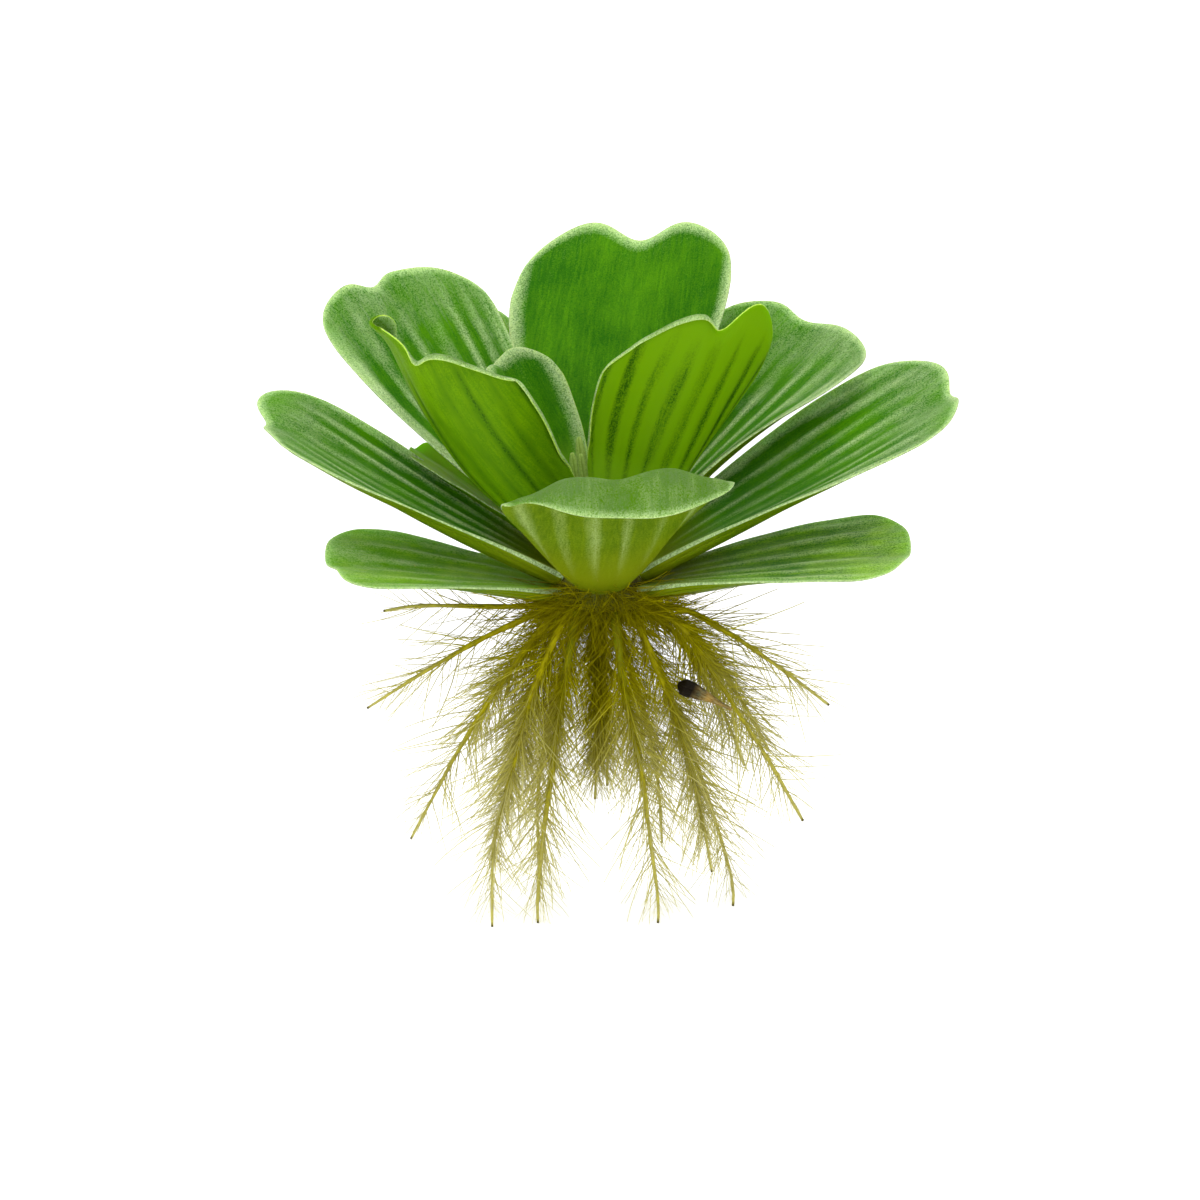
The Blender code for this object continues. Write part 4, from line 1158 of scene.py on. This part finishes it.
class LETTUCE_OT_roots(bpy.types.Operator):
    """Make every root with its rootlets"""

    bl_idname = "lettuce.roots"
    bl_label = "Roots"

    def execute(self, context):
        colours = context.scene.lettuce_root_colours
        tree = feather_tree()
        gold, green = bark_material("root_gold", colours.gold), bark_material("root_green", colours.green)
        rootlet = shared_material("rootlet", rootlet_material)
        for name in ROOTS:
            make_root(name, tree, green if name in GREEN_ROOTS else gold, rootlet)
        return {"FINISHED"}


class LETTUCE_OT_scrap(bpy.types.Operator):
    """Make the withered scrap among the roots"""

    bl_idname = "lettuce.scrap"
    bl_label = "Withered Scrap"

    def execute(self, context):
        make_scrap()
        return {"FINISHED"}


def area_light(name, place, width, power):
    lamp = bpy.data.lights.new(name, "AREA")
    lamp.shape = "RECTANGLE"
    lamp.size, lamp.size_y = width
    lamp.energy = power
    thing = linked(name, lamp)
    thing.location = place
    thing.rotation_euler = (Vector(MIDDLE) - Vector(place)).to_track_quat("-Z", "Y").to_euler()


def make_floor(stage):
    """A pale sweep: the floor curves up into the backdrop."""
    near, far, top, bend, half = -2.0, 1.6, 2.4, 0.6, 3.0
    profile = [(near, 0.0), (far - bend, 0.0)]
    for k in range(1, 13):
        a = 0.5 * math.pi * k / 12
        profile.append((far - bend + bend * math.sin(a), bend * (1.0 - math.cos(a))))
    profile.append((far, top))
    verts = [(x, y, z) for y, z in profile for x in (-half, half)]
    faces = [(2 * i, 2 * i + 1, 2 * i + 3, 2 * i + 2) for i in range(len(profile) - 1)]
    mesh = bpy.data.meshes.new("floor")
    mesh.from_pydata(verts, [], faces)
    mesh.shade_smooth()
    material, t, shader = new_material("floor_paper", stage.floor)
    grain = t.grain(None, 40.0, 2.0)
    shade = tuple(c * 0.99 for c in stage.floor[:3]) + (1.0,)
    t.feed(t.mix(grain, shade, stage.floor), shader.inputs["Base Color"])
    set_shader(shader, Roughness=0.9, Specular_IOR_Level=0.1, Emission_Strength=stage.glow,
               Emission_Color=WHITE)
    mesh.materials.append(material)
    floor = linked("floor", mesh)


class LETTUCE_OT_stage(bpy.types.Operator):
    """Make the camera, the pale floor and the soft lights"""

    bl_idname = "lettuce.stage"
    bl_label = "Stage"

    def execute(self, context):
        scene, stage = context.scene, context.scene.lettuce_stage
        lens = bpy.data.cameras.new("camera")
        lens.lens, lens.sensor_width = stage.lens, SENSOR
        lens.clip_start, lens.clip_end = 0.01, 20.0
        camera = linked("camera", lens)
        camera.location = (stage.side, -stage.distance, stage.height)
        camera.rotation_euler = (math.radians(90), 0.0, 0.0)
        scene.camera = camera
        make_floor(stage)
        for name, (place, width) in LIGHTS.items():
            area_light(name, place, width, getattr(stage, name))
        world = bpy.data.worlds.new("white")
        world.use_nodes = True
        sky = world.node_tree.nodes["Background"]
        sky.inputs["Color"].default_value = WHITE
        sky.inputs["Strength"].default_value = stage.sky
        scene.world = world
        scene.view_settings.view_transform = "Standard"
        return {"FINISHED"}


SETTINGS = {
    "lettuce_leaves": LeafSettings, "lettuce_leaf_colours": LeafColours, "lettuce_roots": RootSettings,
    "lettuce_root_colours": RootColours, "lettuce_stage": StageSettings,
}
OPERATORS = (LETTUCE_OT_stage, LETTUCE_OT_leaves, LETTUCE_OT_heart, LETTUCE_OT_roots, LETTUCE_OT_scrap)


class LETTUCE_PT_panel(bpy.types.Panel):
    """Sizes, colours and buttons for the plant"""

    bl_label = "Water Lettuce"
    bl_idname = "LETTUCE_PT_panel"
    bl_space_type = "VIEW_3D"
    bl_region_type = "UI"
    bl_category = "Water Lettuce"

    def draw(self, context):
        for operator in OPERATORS:
            self.layout.operator(operator.bl_idname)
        for name, group in SETTINGS.items():
            box = self.layout.box()
            box.label(text=group.__doc__)
            for key in group.__annotations__:
                box.prop(getattr(context.scene, name), key)


def register():
    for item in (*SETTINGS.values(), *OPERATORS, LETTUCE_PT_panel):
        bpy.utils.register_class(item)
    for name, group in SETTINGS.items():
        setattr(bpy.types.Scene, name, PointerProperty(type=group))


def unregister():
    for name in SETTINGS:
        delattr(bpy.types.Scene, name)
    for item in (LETTUCE_PT_panel, *OPERATORS, *SETTINGS.values()):
        bpy.utils.unregister_class(item)


def main():
    register()
    bpy.ops.lettuce.stage()
    bpy.ops.lettuce.leaves()
    bpy.ops.lettuce.heart()
    bpy.ops.lettuce.roots()
    bpy.ops.lettuce.scrap()
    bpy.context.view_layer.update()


if __name__ == "__main__":
    main()
